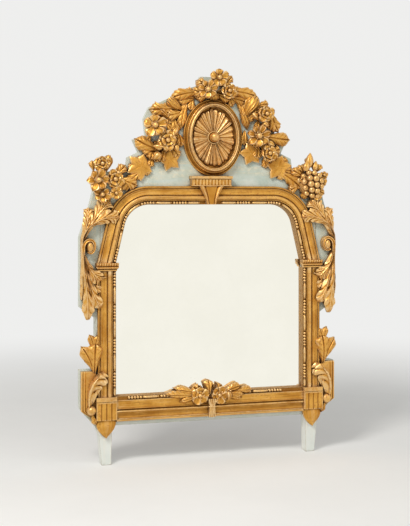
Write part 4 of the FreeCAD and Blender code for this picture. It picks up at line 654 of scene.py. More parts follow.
def make_group(name, inputs, build):
    """A shader node group. Its inputs are numbers by name, and what its build function returns are its outputs."""
    group = bpy.data.node_groups.new(name, "ShaderNodeTree")
    for label, value in inputs.items():
        group.interface.new_socket(label, in_out="INPUT", socket_type="NodeSocketFloat").default_value = value
    nodes = Nodes(group)
    outputs = build(nodes, nodes.add("NodeGroupInput").outputs)
    for label in outputs:
        group.interface.new_socket(label, in_out="OUTPUT", socket_type="NodeSocketFloat")
    nodes.add("NodeGroupOutput", **outputs)
    return group


def build_patchy_tone(nodes, given):
    """Uneven tone: broad patches with finer ones in them, from 0 to 1, and grit for bumps."""
    scale, place = nodes.maths("DIVIDE", 1.0, given["Patch Size"]), nodes.where()
    broad = nodes.noise(place, W=given["Seed"], Scale=scale, Detail=6.0, Roughness=0.62)
    fine = nodes.noise(place, W=given["Seed"], Scale=nodes.times(scale, 14.0), Detail=3.0, Roughness=0.6)
    return {"Tone": nodes.spread(broad, 0.32, 0.68), "Grit": fine}


def build_hollow_dirt_and_shade(nodes, given):
    """Old dirt and wax in corners and hollows, with painted shade there, found by ambient occlusion and broken up a
    little.
    """
    shut = nodes.add("ShaderNodeAmbientOcclusion", {"samples": 8}, Distance=given["Reach"]).outputs["AO"]
    broken = nodes.noise(nodes.where(), Scale=nodes.maths("DIVIDE", 1.0, given["Breakup Size"]), Detail=4.0)
    return {"Mask": nodes.times(nodes.minus(1.0, shut), nodes.plus(0.6, broken), clamp=True)}


def build_rubbed_edges(nodes, given):
    """Edges that hands and cloths have rubbed, in broken stretches."""
    rounded = nodes.add("ShaderNodeBevel", {"samples": 4}, Radius=given["Reach"]).outputs[0]
    true = nodes.add("ShaderNodeNewGeometry").outputs["Normal"]
    alike = nodes.add("ShaderNodeVectorMath", {"operation": "DOT_PRODUCT"}, n0=rounded, n1=true).outputs["Value"]
    edge = nodes.spread(nodes.minus(1.0, alike), 0.02, 0.16)
    broken = nodes.noise(nodes.where(), Scale=nodes.maths("DIVIDE", 1.0, given["Breakup Size"]), Detail=5.0)
    kept = nodes.spread(nodes.plus(broken, given["Amount"]), 0.72, 1.0)
    return {"Mask": nodes.times(edge, kept, clamp=True)}


def build_wood_grain(nodes, given):
    """Long grain, upright or across the board, with rings that run wide and narrow."""
    place = nodes.stretch(nodes.where(), nodes.blend(given["Upright"], (0.045, 1, 1, 1), (1, 1, 0.045, 1)))
    scale = nodes.maths("DIVIDE", 1.0, given["Width"])
    bent = nodes.noise(place, W=given["Seed"], Scale=scale, Detail=5.0, Roughness=0.65, Distortion=0.35)
    rings = nodes.maths("PINGPONG", nodes.times(bent, 7.0), 1.0)
    fibre = nodes.noise(place, Scale=nodes.times(scale, 18.0), Detail=2.0)
    return {"Line": nodes.times(rings, nodes.plus(fibre, 0.4), clamp=True)}


PATCHY_TONE = make_group("patchy_tone", {"Patch Size": 0.06, "Seed": 0.0}, build_patchy_tone)
HOLLOW_DIRT_AND_SHADE = make_group("hollow_dirt_and_shade", {"Reach": 0.012, "Breakup Size": 0.02}, build_hollow_dirt_and_shade)
RUBBED_EDGES = make_group("rubbed_edges", {"Reach": 0.002, "Breakup Size": 0.02, "Amount": 0.5}, build_rubbed_edges)
WOOD_GRAIN = make_group("wood_grain", {"Width": 0.02, "Seed": 0.0, "Upright": 1.0}, build_wood_grain)


def start_material(name):
    material = bpy.data.materials.new(name)
    material.use_nodes = True
    return material, Nodes(material.node_tree), material.node_tree.nodes["Principled BSDF"]


def make_water_gilding():
    """Gold leaf on red bole: burnished on ridges, which also get a painted highlight of pale gold, rubbed through to
    the bole, and dark brown in the hollows with dirt and painted shade. Along run mouldings it is worn in long streaks."""
    material, nodes, shader = start_material("water_gilding")
    standing = nodes.add("ShaderNodeAttribute", {"attribute_name": "standing"}).outputs["Fac"]
    bend = nodes.add("ShaderNodeNewGeometry").outputs["Pointiness"]
    patches = nodes.use(PATCHY_TONE, Patch_Size=0.055, Seed=1.0)
    rubs = nodes.use(PATCHY_TONE, Patch_Size=0.008, Seed=4.0)
    edges = nodes.use(RUBBED_EDGES, Reach=0.0012, Breakup_Size=0.009, Amount=0.3)["Mask"]
    dirt_and_shade = nodes.use(HOLLOW_DIRT_AND_SHADE, Reach=0.02, Breakup_Size=0.012)["Mask"]
    gold = nodes.blend(patches["Tone"], (0.5, 0.218, 0.03, 1), (0.75, 0.405, 0.084, 1))
    raised = nodes.most(nodes.spread(standing, 0.6, 1.1), nodes.spread(bend, 0.505, 0.56))
    # Painted highlight: pale gold on ridges and outward bends. The same mask also lowers roughness there, as burnish.
    pale = nodes.times(raised, nodes.plus(nodes.times(rubs["Tone"], 0.7), 0.25), clamp=True)
    gold = nodes.cover(gold, pale, 0.8, (0.97, 0.74, 0.42, 1))
    thin = nodes.minus(nodes.plus(rubs["Tone"], nodes.times(patches["Tone"], 0.5)), 0.95)
    bole = nodes.most(nodes.spread(thin, 0.06, 0.42), nodes.times(edges, 0.6))
    gold = nodes.cover(gold, bole, 0.55, (0.38, 0.125, 0.03, 1))
    run = nodes.add("ShaderNodeAttribute", {"attribute_name": "run"}).outputs["Vector"]
    streaks = nodes.noise(nodes.stretch(run, (0.013, 0.3, 1)), Scale=1.0, Detail=3.0, Roughness=0.6)
    gold = nodes.cover(gold, nodes.spread(streaks, 0.53, 0.68), 0.6, (0.3, 0.12, 0.022, 1))
    gold = nodes.cover(gold, nodes.spread(streaks, 0.46, 0.3), 0.4, (0.88, 0.6, 0.27, 1))
    # Painted shade with dirt: low points, inward bends and occluded corners turn dark brown and less metallic.
    low, bent = nodes.spread(standing, 0.45, 0.0), nodes.spread(bend, 0.495, 0.44)
    sunk = nodes.most(nodes.times(low, 0.6), nodes.times(bent, 0.75))
    hollow = nodes.most(sunk, nodes.spread(dirt_and_shade, 0.27, 0.82))
    nodes.finish(
        shader, nodes.plus(patches["Grit"], nodes.times(rubs["Tone"], 0.6)), 0.35, 0.0006,
        Base_Color=nodes.cover(gold, hollow, 0.9, (0.125, 0.036, 0.002, 1)),
        Metallic=nodes.minus(0.74, nodes.times(nodes.most(hollow, bole), 0.45), clamp=True),
        Roughness=nodes.minus(nodes.plus(0.45, nodes.times(hollow, 0.3)), nodes.times(pale, 0.12)),
        Specular_IOR_Level=0.12)
    return material


def make_grey_green_paint(name, upright):
    """Old distemper on the boards' faces and edges, worn along the grain, darkened round the carving with dirt and
    painted shade, and with painted light that makes it paler low on the legs. Their backs are bare wood."""
    material, nodes, shader = start_material(name)
    patches = nodes.use(PATCHY_TONE, Patch_Size=0.07, Seed=7.0)
    chips = nodes.use(PATCHY_TONE, Patch_Size=0.014, Seed=9.0)
    grain = nodes.use(WOOD_GRAIN, Width=0.022, Seed=2.0, Upright=upright)["Line"]
    dirt_and_shade = nodes.use(HOLLOW_DIRT_AND_SHADE, Reach=0.022, Breakup_Size=0.012)["Mask"]
    worn = nodes.use(RUBBED_EDGES, Reach=0.0035, Breakup_Size=0.014, Amount=0.46)["Mask"]
    backwards = nodes.part(nodes.where("Normal"), "Y")
    paint = nodes.blend(patches["Tone"], (0.46, 0.55, 0.49, 1), (0.65, 0.7, 0.64, 1))
    paint = nodes.cover(paint, grain, 0.45, (0.6, 0.56, 0.38, 1))
    rim = nodes.spread(nodes.maths("ABSOLUTE", backwards), 0.5, 0.3)
    paint = nodes.cover(paint, rim, 0.45, (0.76, 0.75, 0.67, 1))
    thin = nodes.spread(nodes.times(chips["Tone"], nodes.plus(grain, 0.55)), 0.75, 1.1)
    paint = nodes.cover(paint, thin, 0.6, (0.74, 0.69, 0.53, 1))
    # Painted light: the paint turns paler towards the bottom of the legs.
    legs_painted_light = nodes.spread(nodes.part(nodes.where(), "Z"), 0.15, 0.09)
    paint = nodes.cover(paint, legs_painted_light, 0.55, (0.93, 0.94, 0.91, 1))
    paint = nodes.blend(worn, paint, (0.38, 0.32, 0.2, 1))
    # Dirt with painted shade: the paint turns dark brown in the gaps between and round the carving.
    paint = nodes.cover(paint, nodes.spread(dirt_and_shade, 0.45, 0.95), 0.95, (0.14, 0.09, 0.035, 1))
    wood = nodes.blend(grain, (0.3, 0.17, 0.08, 1), (0.15, 0.075, 0.032, 1))
    wood = nodes.cover(wood, patches["Tone"], 0.35, (0.1, 0.06, 0.035, 1))
    nodes.finish(
        shader, nodes.minus(nodes.plus(nodes.times(grain, 0.6), chips["Grit"]), worn), 0.4, 0.0006,
        Base_Color=nodes.blend(nodes.spread(backwards, 0.8, 0.9), paint, wood),
        Roughness=nodes.minus(0.74, nodes.times(patches["Tone"], 0.14)))
    return material


def make_bare_wood(name, upright):
    """Unpainted pine that has darkened with age."""
    material, nodes, shader = start_material(name)
    patches = nodes.use(PATCHY_TONE, Patch_Size=0.14, Seed=12.0)
    grain = nodes.use(WOOD_GRAIN, Width=0.022, Seed=5.0, Upright=upright)["Line"]
    dirt_and_shade = nodes.use(HOLLOW_DIRT_AND_SHADE, Reach=0.02, Breakup_Size=0.03)["Mask"]
    worn = nodes.use(RUBBED_EDGES, Reach=0.0015, Breakup_Size=0.02, Amount=0.3)["Mask"]
    wood = nodes.blend(grain, (0.34, 0.2, 0.1, 1), (0.17, 0.085, 0.036, 1))
    wood = nodes.cover(wood, patches["Tone"], 0.4, (0.13, 0.08, 0.045, 1))
    wood = nodes.cover(wood, worn, 0.6, (0.45, 0.3, 0.17, 1))
    # The wood turns near black in occluded corners, as dirt with painted shade.
    nodes.finish(
        shader, nodes.plus(grain, nodes.times(patches["Grit"], 0.4)), 0.4, 0.0006,
        Base_Color=nodes.cover(wood, dirt_and_shade, 0.7, (0.05, 0.03, 0.018, 1)),
        Roughness=nodes.plus(0.68, nodes.times(grain, 0.15)))
    return material


def make_silvered_glass():
    """Old silvered glass: bright, with a faint haze and a few dull spots, and dark behind."""
    material, nodes, shader = start_material("silvered_glass")
    haze = nodes.use(PATCHY_TONE, Patch_Size=0.16, Seed=15.0)["Tone"]
    spots = nodes.use(PATCHY_TONE, Patch_Size=0.009, Seed=17.0)["Tone"]
    dull = nodes.times(nodes.spread(spots, 0.985, 1.0), nodes.spread(haze, 0.75, 1.0))
    silver = nodes.blend(haze, (0.93, 0.925, 0.88, 1), (0.96, 0.955, 0.915, 1))
    silver = nodes.cover(silver, dull, 0.35, (0.42, 0.38, 0.3, 1))
    back = nodes.spread(nodes.part(nodes.where("Normal"), "Y"), 0.5, 0.6)
    nodes.finish(
        shader, nodes.noise(nodes.where(), Scale=5.0, Detail=1.0), 0.06, 0.002,
        Base_Color=nodes.blend(back, silver, (0.1, 0.085, 0.07, 1)), Metallic=1.0,
        Roughness=nodes.plus(nodes.plus(0.025, nodes.times(haze, 0.03)), nodes.times(back, 0.8)))
    return material


def make_wrought_iron():
    """Blackened iron with rust in its hollows and bright rubbed edges."""
    material, nodes, shader = start_material("wrought_iron")
    patches = nodes.use(PATCHY_TONE, Patch_Size=0.008, Seed=20.0)
    dirt_and_shade = nodes.use(HOLLOW_DIRT_AND_SHADE, Reach=0.004, Breakup_Size=0.004)["Mask"]
    worn = nodes.use(RUBBED_EDGES, Reach=0.0006, Breakup_Size=0.004, Amount=0.5)["Mask"]
    iron = nodes.blend(patches["Tone"], (0.05, 0.047, 0.045, 1), (0.1, 0.085, 0.075, 1))
    iron = nodes.blend(worn, iron, (0.3, 0.28, 0.26, 1))
    rust = nodes.most(dirt_and_shade, nodes.spread(patches["Tone"], 0.8, 1.0))
    nodes.finish(
        shader, patches["Grit"], 0.5, 0.0003,
        Base_Color=nodes.cover(iron, rust, 0.7, (0.17, 0.06, 0.022, 1)),
        Metallic=nodes.minus(0.9, nodes.times(rust, 0.8), clamp=True),
        Roughness=nodes.plus(0.5, nodes.times(rust, 0.3)))
    return material


GILDING = make_water_gilding()
UPRIGHT_PAINT = make_grey_green_paint("grey_green_paint_upright", 1.0)
CROSS_PAINT = make_grey_green_paint("grey_green_paint_across", 0.0)
WOOD = make_bare_wood("bare_wood_upright", 1.0)
BATTEN_WOOD = make_bare_wood("bare_wood_across", 0.0)
SILVER = make_silvered_glass()
IRON = make_wrought_iron()


def gild(name, carving, node, **more):
    return make_piece(name, carving, GILDING, "water_gilding", [node], **more)


# Mouldings. Parts are (across from the sight edge, relief, bulge). All of them start with the sight edge's parts.
SIGHT_PARTS = (
    (2.0, 0, 0), (2.0, GLASS_RELIEF + 0.2, 0), (0, GLASS_RELIEF + 0.2, 0), (0, 7.4, 0), (0.4, 8, 0), (1.2, 8, 0),
    (1.4, 7.4, 0), (10.0, 7.4, -0.4),
)
SURROUND_PARTS = SIGHT_PARTS + (
    (12.2, 14.5, 0), (14.0, 15.2, 0.7), (14.5, 14.2, 0), (27.0, 14.4, 5.4), (27.6, 13.4, 0), (29.4, 13.4, 0),
    (30.0, 15.8, 0), (45.5, 13.2, -1.0), (46.0, 14, 0), (47.6, 14, 0.6), (48.4, 11.4, 0), (50.0, 10.4, 0),
    (50.3, 12, 0), (55.2, 11.6, 0.8), (56, 10.5, 0), (56, 0, 0),
)
FOOT_PARTS = SIGHT_PARTS + (
    (11.6, 14.5, 0), (13, 15, 0), (34, 15, -0.9), (35.5, 17, 0), (37, 17.4, 0.4), (37.4, 13, 0), (40.6, 13, 0),
    (41, 15, 0), (47.5, 15, 4.2), (48, 13.2, 0), (51, 13, 0), (64, 14.6, -2.6), (66, 17, 0), (67.5, 17, 0),
    (68, 15.6, 0), (74, 15, 2.6), (75, 12, 0), (75, 0, 0),
)
STATION_STEP = 9
ARCH_LEAN = 41
ARCH_CORNER_RADIUS = 76
BEAD_LINE = 5.6
BEAD_RELIEF = 11.2
BEAD_RADIUS = 4.2
BEAD_PITCH = 8.9
BEAD_GROUP = 5
BAR_LENGTH = 56
BAR_SHARES = (0, 0.02, 0.05, 0.07, 0.1, 0.3, 0.5, 0.7, 0.9, 0.93, 0.95, 0.98, 1)
BAR_GIRTHS = (0.3, 0.8, 0.8, 0.5, 0.78, 0.86, 0.88, 0.86, 0.78, 0.5, 0.8, 0.8, 0.3)
KEYSTONE_BEAD_OVERLAP = 12
# How far strings stop short of a moulding's ends, and how far the foot moulding stops short of its node's ends
STRING_INSET = 1
FOOT_INSET = 0.2
# Under the glass, strings start this far in from the left and right ends, or run between the bouquet's sides, and
# lie this far below the sight edge
FOOT_STRING_STARTS = (34, 70)
FOOT_STRING_ENDS = 96
FOOT_STRING_MIDDLE = 88
FOOT_STRING_DROP = 5.3


def straight_stations(start, end, direction):
    """Bases along a straight sight edge, all with one direction across the moulding."""
    count = max(2, int(math.dist(start, end) / STATION_STEP))
    bases = [np.array(start) + (np.array(end) - np.array(start)) * i / count for i in range(count + 1)]
    return bases, [np.array(direction)] * (count + 1)


def arch_stations():
    """Bases along the arch's sight edge, from the right spring over the top to the left one."""
    lean = math.atan2(ARCH_LEAN, SIGHT_TOP - SPRING_Z)
    normal = np.array((math.cos(lean), math.sin(lean)))
    upwards = np.array((-math.sin(lean), math.cos(lean)))
    centre_z = SIGHT_TOP - ARCH_CORNER_RADIUS
    centre_x = SIGHT_X - math.tan(lean) * (centre_z - SPRING_Z) - ARCH_CORNER_RADIUS / math.cos(lean)
    centre = np.array((centre_x, centre_z))
    stations = [(np.array((SIGHT_X, SPRING_Z)), np.array((1 / math.cos(lean), 0)))]
    foot = stations[0][0]
    leg = np.linalg.norm(centre + normal * ARCH_CORNER_RADIUS - foot)
    stations += [(foot + upwards * run, normal) for run in np.linspace(12, leg, 13)]
    for angle in np.linspace(lean, math.pi / 2, 19)[1:]:
        direction = np.array((math.cos(angle), math.sin(angle)))
        stations.append((centre + direction * ARCH_CORNER_RADIUS, direction))
    stations += [(np.array((x, SIGHT_TOP)), np.array((0.0, 1.0))) for x in np.linspace(centre_x, 0, 21)[1:]]
    mirror = np.array((-1, 1))
    stations += [(base * mirror, direction * mirror) for base, direction in reversed(stations[:-1])]
    return zip(*stations)


def bead_string(carving, places):
    """Groups of beads with bars between them, along a line of places."""
    places = np.array(places)
    steps = distances(places)

    def at(run):
        return np.interp(run, steps, places[:, 0]), np.interp(run, steps, places[:, 1])

    run = BEAD_RADIUS + 1
    while run < steps[-1] - BEAD_RADIUS:
        for _ in range(BEAD_GROUP):
            if run < steps[-1] - BEAD_RADIUS:
                ball(carving, *at(run), BEAD_RELIEF, BEAD_RADIUS)
            run += BEAD_PITCH
        end = min(run + BAR_LENGTH - BEAD_PITCH, steps[-1] - 1)
        if end - run > 2 * BEAD_PITCH:
            start = run - BEAD_RADIUS + 1
            line = [(*at(start + (end - start) * share), BEAD_RELIEF) for share in BAR_SHARES]
            rod(carving, line, [BEAD_RADIUS * girth for girth in BAR_GIRTHS], 12)
        run += BAR_LENGTH


def make_moulding(name, node, parts, stations):
    moulding = Carving()
    run_moulding(moulding, section(parts), *stations)
    gild(name, moulding, node)


def make_bead_strings(name, node, lines):
    beads = Carving()
    for line in lines:
        bead_string(beads, line)
    gild(name, beads, node, unevenly=0)


def make_side_mouldings(side):
    name = SIDE_NAMES[side]
    low, high = span(f"{name}_pilaster")[1]
    stations = straight_stations((side * SIGHT_X, low), (side * SIGHT_X, high), (side, 0))
    make_moulding(f"{name}_side_moulding", f"{name}_pilaster", SURROUND_PARTS, stations)
    column = side * (SIGHT_X + BEAD_LINE)
    line = (column, high - STRING_INSET), (column, low + STRING_INSET)
    make_bead_strings(f"{name}_bead_string", f"{name}_pilaster_beads", [line])


def make_arch():
    bases, directions = arch_stations()
    make_moulding("arch_surround", "arch_moulding", SURROUND_PARTS, (bases, directions))
    line = [base + direction * BEAD_LINE for base, direction in zip(bases, directions)]
    low, high = span("keystone")[0]
    right = [p for p in line if p[0] > high - KEYSTONE_BEAD_OVERLAP]
    left = [p for p in reversed(line) if p[0] < low + KEYSTONE_BEAD_OVERLAP]
    make_bead_strings("arch_bead_string", "arch_beads", [right, left])


def make_foot_moulding():
    (left, right), (_, high), _ = span("bottom_moulding")
    stations = straight_stations((left + FOOT_INSET, high), (right - FOOT_INSET, high), (0, -1))
    make_moulding("foot_moulding", "bottom_moulding", FOOT_PARTS, stations)
    z = high - FOOT_STRING_DROP
    ends = ((left + FOOT_STRING_STARTS[0], -FOOT_STRING_ENDS), (right - FOOT_STRING_STARTS[1], FOOT_STRING_ENDS),
            (-FOOT_STRING_MIDDLE, FOOT_STRING_MIDDLE))
    make_bead_strings("foot_bead_string", "bottom_beads", [[(start, z), (end, z)] for start, end in ends])


# Blocks and capitals
def gild_field(name, node, rows, relief, columns, standing, **more):
    """A gilded block of one carved field."""
    carving = Carving()
    field(carving, rows, relief, columns, standing)
    return gild(name, carving, node, **more)


def steps_between(values, step):
    """Values with others in between, so that none is further than a step from the next."""
    out = [values[0]]
    for value in values[1:]:
        count = max(1, math.ceil(abs(value - out[-1]) / step))
        out += list(np.linspace(out[-1], value, count + 1)[1:])
    return out


def from_middle(across):
    """How far shares across lie from the middle, up to 1 at the edges."""
    return np.abs(across * 2 - 1)


CAPITAL_TONGUES = 9
CAPITAL_INSET = 6
# A capital's levels: share of its height, and share of its depth
CAPITAL_LEVELS = (
    (0, 0.72), (0.05, 0.82), (0.16, 0.82), (0.18, 0.7), (0.24, 0.7), (0.3, 0.86), (0.4, 0.93), (0.5, 0.86),
    (0.54, 0.74), (0.58, 0.72), (0.64, 0.84), (0.86, 1.0), (0.97, 1.0), (1.0, 0.94),
)
TONGUES_FROM = 0.58


def make_capital(side):
    """A small capital: fillets and a cove under a row of tongues."""
    name = f"{SIDE_NAMES[side]}_capital"
    (left, right), (low, high), (_, front) = span(name)
    rise = high - low
    shares, depths = zip(*CAPITAL_LEVELS)

    def tongues(across):
        return np.abs(np.sin(across * math.pi * CAPITAL_TONGUES)) ** 0.5

    def relief(across, z):
        share = (z - low) / rise
        top = front * np.interp(share, shares, depths)
        if share > TONGUES_FROM:
            top = top - 6.5 * (1 - tongues(across)) * (share - 0.4)
        return top - 0.6 * from_middle(across) ** 20

    def standing(across, z):
        return tongues(across) if (z - low) / rise > TONGUES_FROM else 0.75

    rows = []
    for share in steps_between(shares, 0.04):
        back = CAPITAL_INSET * (1 - min(1, max(0, (share - 0.1) / 0.4)))
        rows.append((low + rise * share, left + back, right - back))
    gild_field(f"{name}_carved", name, rows, relief, 110, standing, unevenly=0.15)


BLOCK_FLUTES = 4
# Down from the block's top: the flat band's groove, and where the flutes end
BLOCK_GROOVE = (12.5, 14)
BLOCK_BAND = 17


def make_corner_block(side):
    """A block with four flutes under a flat band."""
    name = f"{SIDE_NAMES[side]}_corner_block"
    (left, right), (low, high), (_, front) = span(name)

    def depth(across, z):
        rise = np.clip((high - BLOCK_BAND - z) / 3, 0, 1)
        wave = bell((across * BLOCK_FLUTES + 0.5) % 1 - 0.5, 0.17) + 0.35 * bell((across * BLOCK_FLUTES) % 1 - 0.5, 0.3)
        return (across > 0.06) * (across < 0.94) * wave * math.sqrt(rise)

    def relief(across, z):
        band = 1.6 if BLOCK_GROOVE[0] < high - z < BLOCK_GROOVE[1] else 0.0
        return front - 3.4 * depth(across, z) - band - 0.8 * from_middle(across) ** 30

    drops = [BLOCK_BAND] + [edge + step for edge in reversed(BLOCK_GROOVE) for step in (0.1, -0.1)] + [0.8, 0]
    rows = [(z, left, right) for z in steps_between([low] + [high - drop for drop in drops], 2.2)]
    gild_field(f"{name}_fluted", name, rows, relief, 120, lambda across, z: 0.85 - 0.8 * depth(across, z), unevenly=0.2)


PENDANT_SHARES = (0, 0.15, 0.33, 0.5, 0.65, 0.8, 0.9, 0.97, 1.0)
PENDANT_WIDTHS = (1, 1.0, 0.93, 0.82, 0.64, 0.42, 0.24, 0.1, 0.02)
PENDANT_VEINS = (-0.66, -0.34, 0.34, 0.66)


def make_pendant(side):
    """A leaf that hangs over the leg, with veins that run to its point."""
    name = f"{SIDE_NAMES[side]}_pendant"
    (left, right), (low, high), (_, front) = span(name)
    middle, half = middle_and_half((left, right))

    def veins(across):
        return np.maximum.reduce([bell(across * 2 - 1 - spot, 0.07) for spot in PENDANT_VEINS])

    def relief(across, z):
        share = (high - z) / (high - low)
        crown = 1 - 0.55 * from_middle(across) ** 2.2
        hang = 0.8 + 0.2 * math.sin(math.pi * min(1, share * 1.2))
        return front * hang * crown - 1.0 * veins(across) * (1 - share) + 0.8 * bell(across * 2 - 1, 0.1)

    def standing(across, _):
        return 0.75 - 0.4 * veins(across) - 0.4 * from_middle(across) ** 4

    rows = []
    for share in np.linspace(0, 1, 30):
        width = half * np.interp(share, PENDANT_SHARES, PENDANT_WIDTHS)
        rows.append((high - (high - low) * share, middle - width, middle + width))
    gild_field(f"{name}_leaf", name, rows, relief, 60, standing)


KEYSTONE_FOOT_HALF = 14
KEYSTONE_PANEL = 0.46


def make_keystone():
    """A tapered block that flares at its top, with a round rib along each side and a plain panel between."""
    (left, right), (low, high), (_, front) = span("keystone")
    middle, half = middle_and_half((left, right))

    def ribs(inwards):
        return 2.4 * bell(inwards - 0.22, 0.12)

    def relief(across, _):
        inwards = 1 - from_middle(across)
        sunk = 2.4 * bell(inwards - KEYSTONE_PANEL, 0.05) + 0.9 * (inwards > KEYSTONE_PANEL)
        return front - 2.6 - sunk + ribs(inwards)

    def standing(across, _):
        inwards = 1 - from_middle(across)
        return 0.62 - 0.3 * bell(inwards - KEYSTONE_PANEL, 0.06) + 0.12 * ribs(inwards)

    rows = []
    for z in np.linspace(low, high, 30):
        width = KEYSTONE_FOOT_HALF + (half - KEYSTONE_FOOT_HALF) * ((z - low) / (high - low)) ** 1.5
        rows.append((z, middle - width, middle + width))
    gild_field("keystone_ribbed", "keystone", rows, relief, 110, standing, unevenly=0.2)


CAP_FLUTES = 12
# The cap's levels: share of its height, and share of its depth. Flutes run between two of them.
CAP_LEVELS = (
    (0, 0.86), (0.03, 0.9), (0.1, 0.9), (0.12, 0.86), (0.66, 0.9), (0.68, 0.84), (0.72, 0.84), (0.74, 1.0),
    (0.97, 1.0), (1, 0.96),
)
CAP_FLUTED = (0.12, 0.66)
CAP_INSET = 2.6


def make_keystone_cap():
    """A shelf over the keystone, fluted all along under a plain fillet."""
    (left, right), (low, high), (_, front) = span("keystone_cap")
    rise = high - low
    shares, depths = zip(*CAP_LEVELS)

    def fluting(across, z):
        fluted = CAP_FLUTED[0] <= (z - low) / rise <= CAP_FLUTED[1]
        return fluted * (1 - np.abs(np.sin(across * math.pi * CAP_FLUTES)) ** 0.55)

    def relief(across, z):
        return front * np.interp((z - low) / rise, shares, depths) - 2.6 * fluting(across, z)

    rows = []
    for share in steps_between(shares, 0.06):
        back = CAP_INSET if share < 0.7 else 0
        rows.append((low + rise * share, left + back, right - back))
    gild_field("keystone_cap_fluted", "keystone_cap", rows, relief, 220,
               lambda across, z: 0.9 - 0.8 * fluting(across, z), unevenly=0.15)


# Medallion. The ring's section is in parts (inwards from its outer edge, relief, bulge), and the boss's levels are
# (share of its radius, relief).
RING_PARTS = (
    (0, 0, 0), (0, 9, 0), (1, 10.5, 0), (3.2, 10.5, 0.4), (3.5, 8.5, 0), (5, 8.5, 0), (9, 19, -1.6), (9.4, 21.5, 0),
    (11.4, 22.5, 0.5), (11.7, 20.5, 0), (12.6, 20.5, 0), (20.4, 27, 7.2), (20.8, 27.5, 0), (23, 27.2, 0.4),
    (23.5, 14, 0), (23.5, 0, 0),
)
RING_RIM = 10.6
ROSETTE_RAYS = 28
ROSETTE_SHARES = (
    0.02, 0.16, 0.2, 0.24, 0.3, 0.38, 0.46, 0.54, 0.62, 0.7, 0.76, 0.81, 0.85, 0.88, 0.905, 0.925, 0.94, 0.96, 1.0,
)
ROSETTE_UNDER_RING = 2.5
RAY_RIDGE = 0.34
BOSS_LEVELS = (
    (1.3, 13), (1.34, 16), (1.28, 18), (1.16, 18.6), (1.05, 17.5), (0.95, 16), (0.99, 22), (1.0, 28), (0.97, 33),
    (0.88, 38), (0.72, 42), (0.5, 44.6), (0.25, 45.8), (0.04, 46),
)


def make_medallion():
    (x, wide), (z, tall) = (middle_and_half(limits) for limits in span("medallion_ring")[:2])
    outline = section(RING_PARTS)
    rings = []
    for angle in around(160):
        normal = np.array((math.cos(angle) / wide, math.sin(angle) / tall))
        normal /= np.linalg.norm(normal)
        rim = np.array((x + wide * math.cos(angle), z + tall * math.sin(angle)))
        rings.append(np.column_stack((rim - outline[:, :1] * normal, outline[:, 1])))
    ring = Carving()
    standing = np.clip(outline[:, 1] / 30, 0, 1)
    standing[outline[:, 1] < RING_RIM] = 0.35
    ring.skin(rings, standing[None], closed=True)
    gild("medallion_moulded_ring", ring, "medallion_ring")
    make_rosette(x, z)
    (x, radius), (z, _), (_, front) = [*map(middle_and_half, span("medallion_boss")[:2]), span("medallion_boss")[2]]
    boss = Carving()
    turned(boss, x, z, (radius, radius), [(out, min(up, front)) for out, up in BOSS_LEVELS], (0.15, 0.95), 48)
    gild("medallion_knob", boss, "medallion_boss", unevenly=0.2)


def make_rosette(x, z):
    """Rays from the boss to the ring, of uneven widths, each cut with a steep and a long side and a rounded tip."""
    wide, tall = (middle_and_half(limits)[1] + ROSETTE_UNDER_RING for limits in span("medallion_rosette")[:2])
    turn = around(ROSETTE_RAYS * 14)
    bounds = np.cumsum(1 + 0.35 * np.sin(np.arange(ROSETTE_RAYS) * 2.4))
    bounds = np.append(0, bounds / bounds[-1] * TAU)
    ray = np.searchsorted(bounds, turn, side="right") - 1
    phase = (turn - bounds[ray]) / (bounds[ray + 1] - bounds[ray])
    ridge = np.where(phase < RAY_RIDGE, phase / RAY_RIDGE, (1 - phase) / (1 - RAY_RIDGE))
    ridge = ridge ** 0.8 - 0.22 * bell(phase - 0.68, 0.09)
    strength = 0.62 + 0.38 * ((ray * 7) % 5) / 4
    rounded = np.sqrt(np.clip(1 - (2 * phase - 1) ** 2, 0, 1))
    rosette = Carving()
    for share in ROSETTE_SHARES:
        ground = 10 + 4 * (1 - min(1, share * 1.15)) ** 1.3
        past = np.clip((share - 0.8) / (0.145 * strength * (0.4 + 0.6 * rounded)), 0, 1)
        rib = (4.4 + 9 * np.clip((share - 0.18) / 0.6, 0, 1)) * np.sqrt(1 - past ** 3) * (share > 0.17)
        height = ground + rib * (0.3 + 0.7 * strength * ridge)
        standing = (0.3 + 0.9 * ridge * strength) * (rib > 1) + 0.36
        rosette.row(oval(x, z, wide * share, tall * share, turn), height, standing)
    for share in (ROSETTE_SHARES[-1], ROSETTE_SHARES[0]):
        rosette.row(oval(x, z, wide * share, tall * share, turn), 0, 0)
    rosette.join_rows()
    gild("medallion_rays", rosette, "medallion_rosette", unevenly=0.5, patch=9)


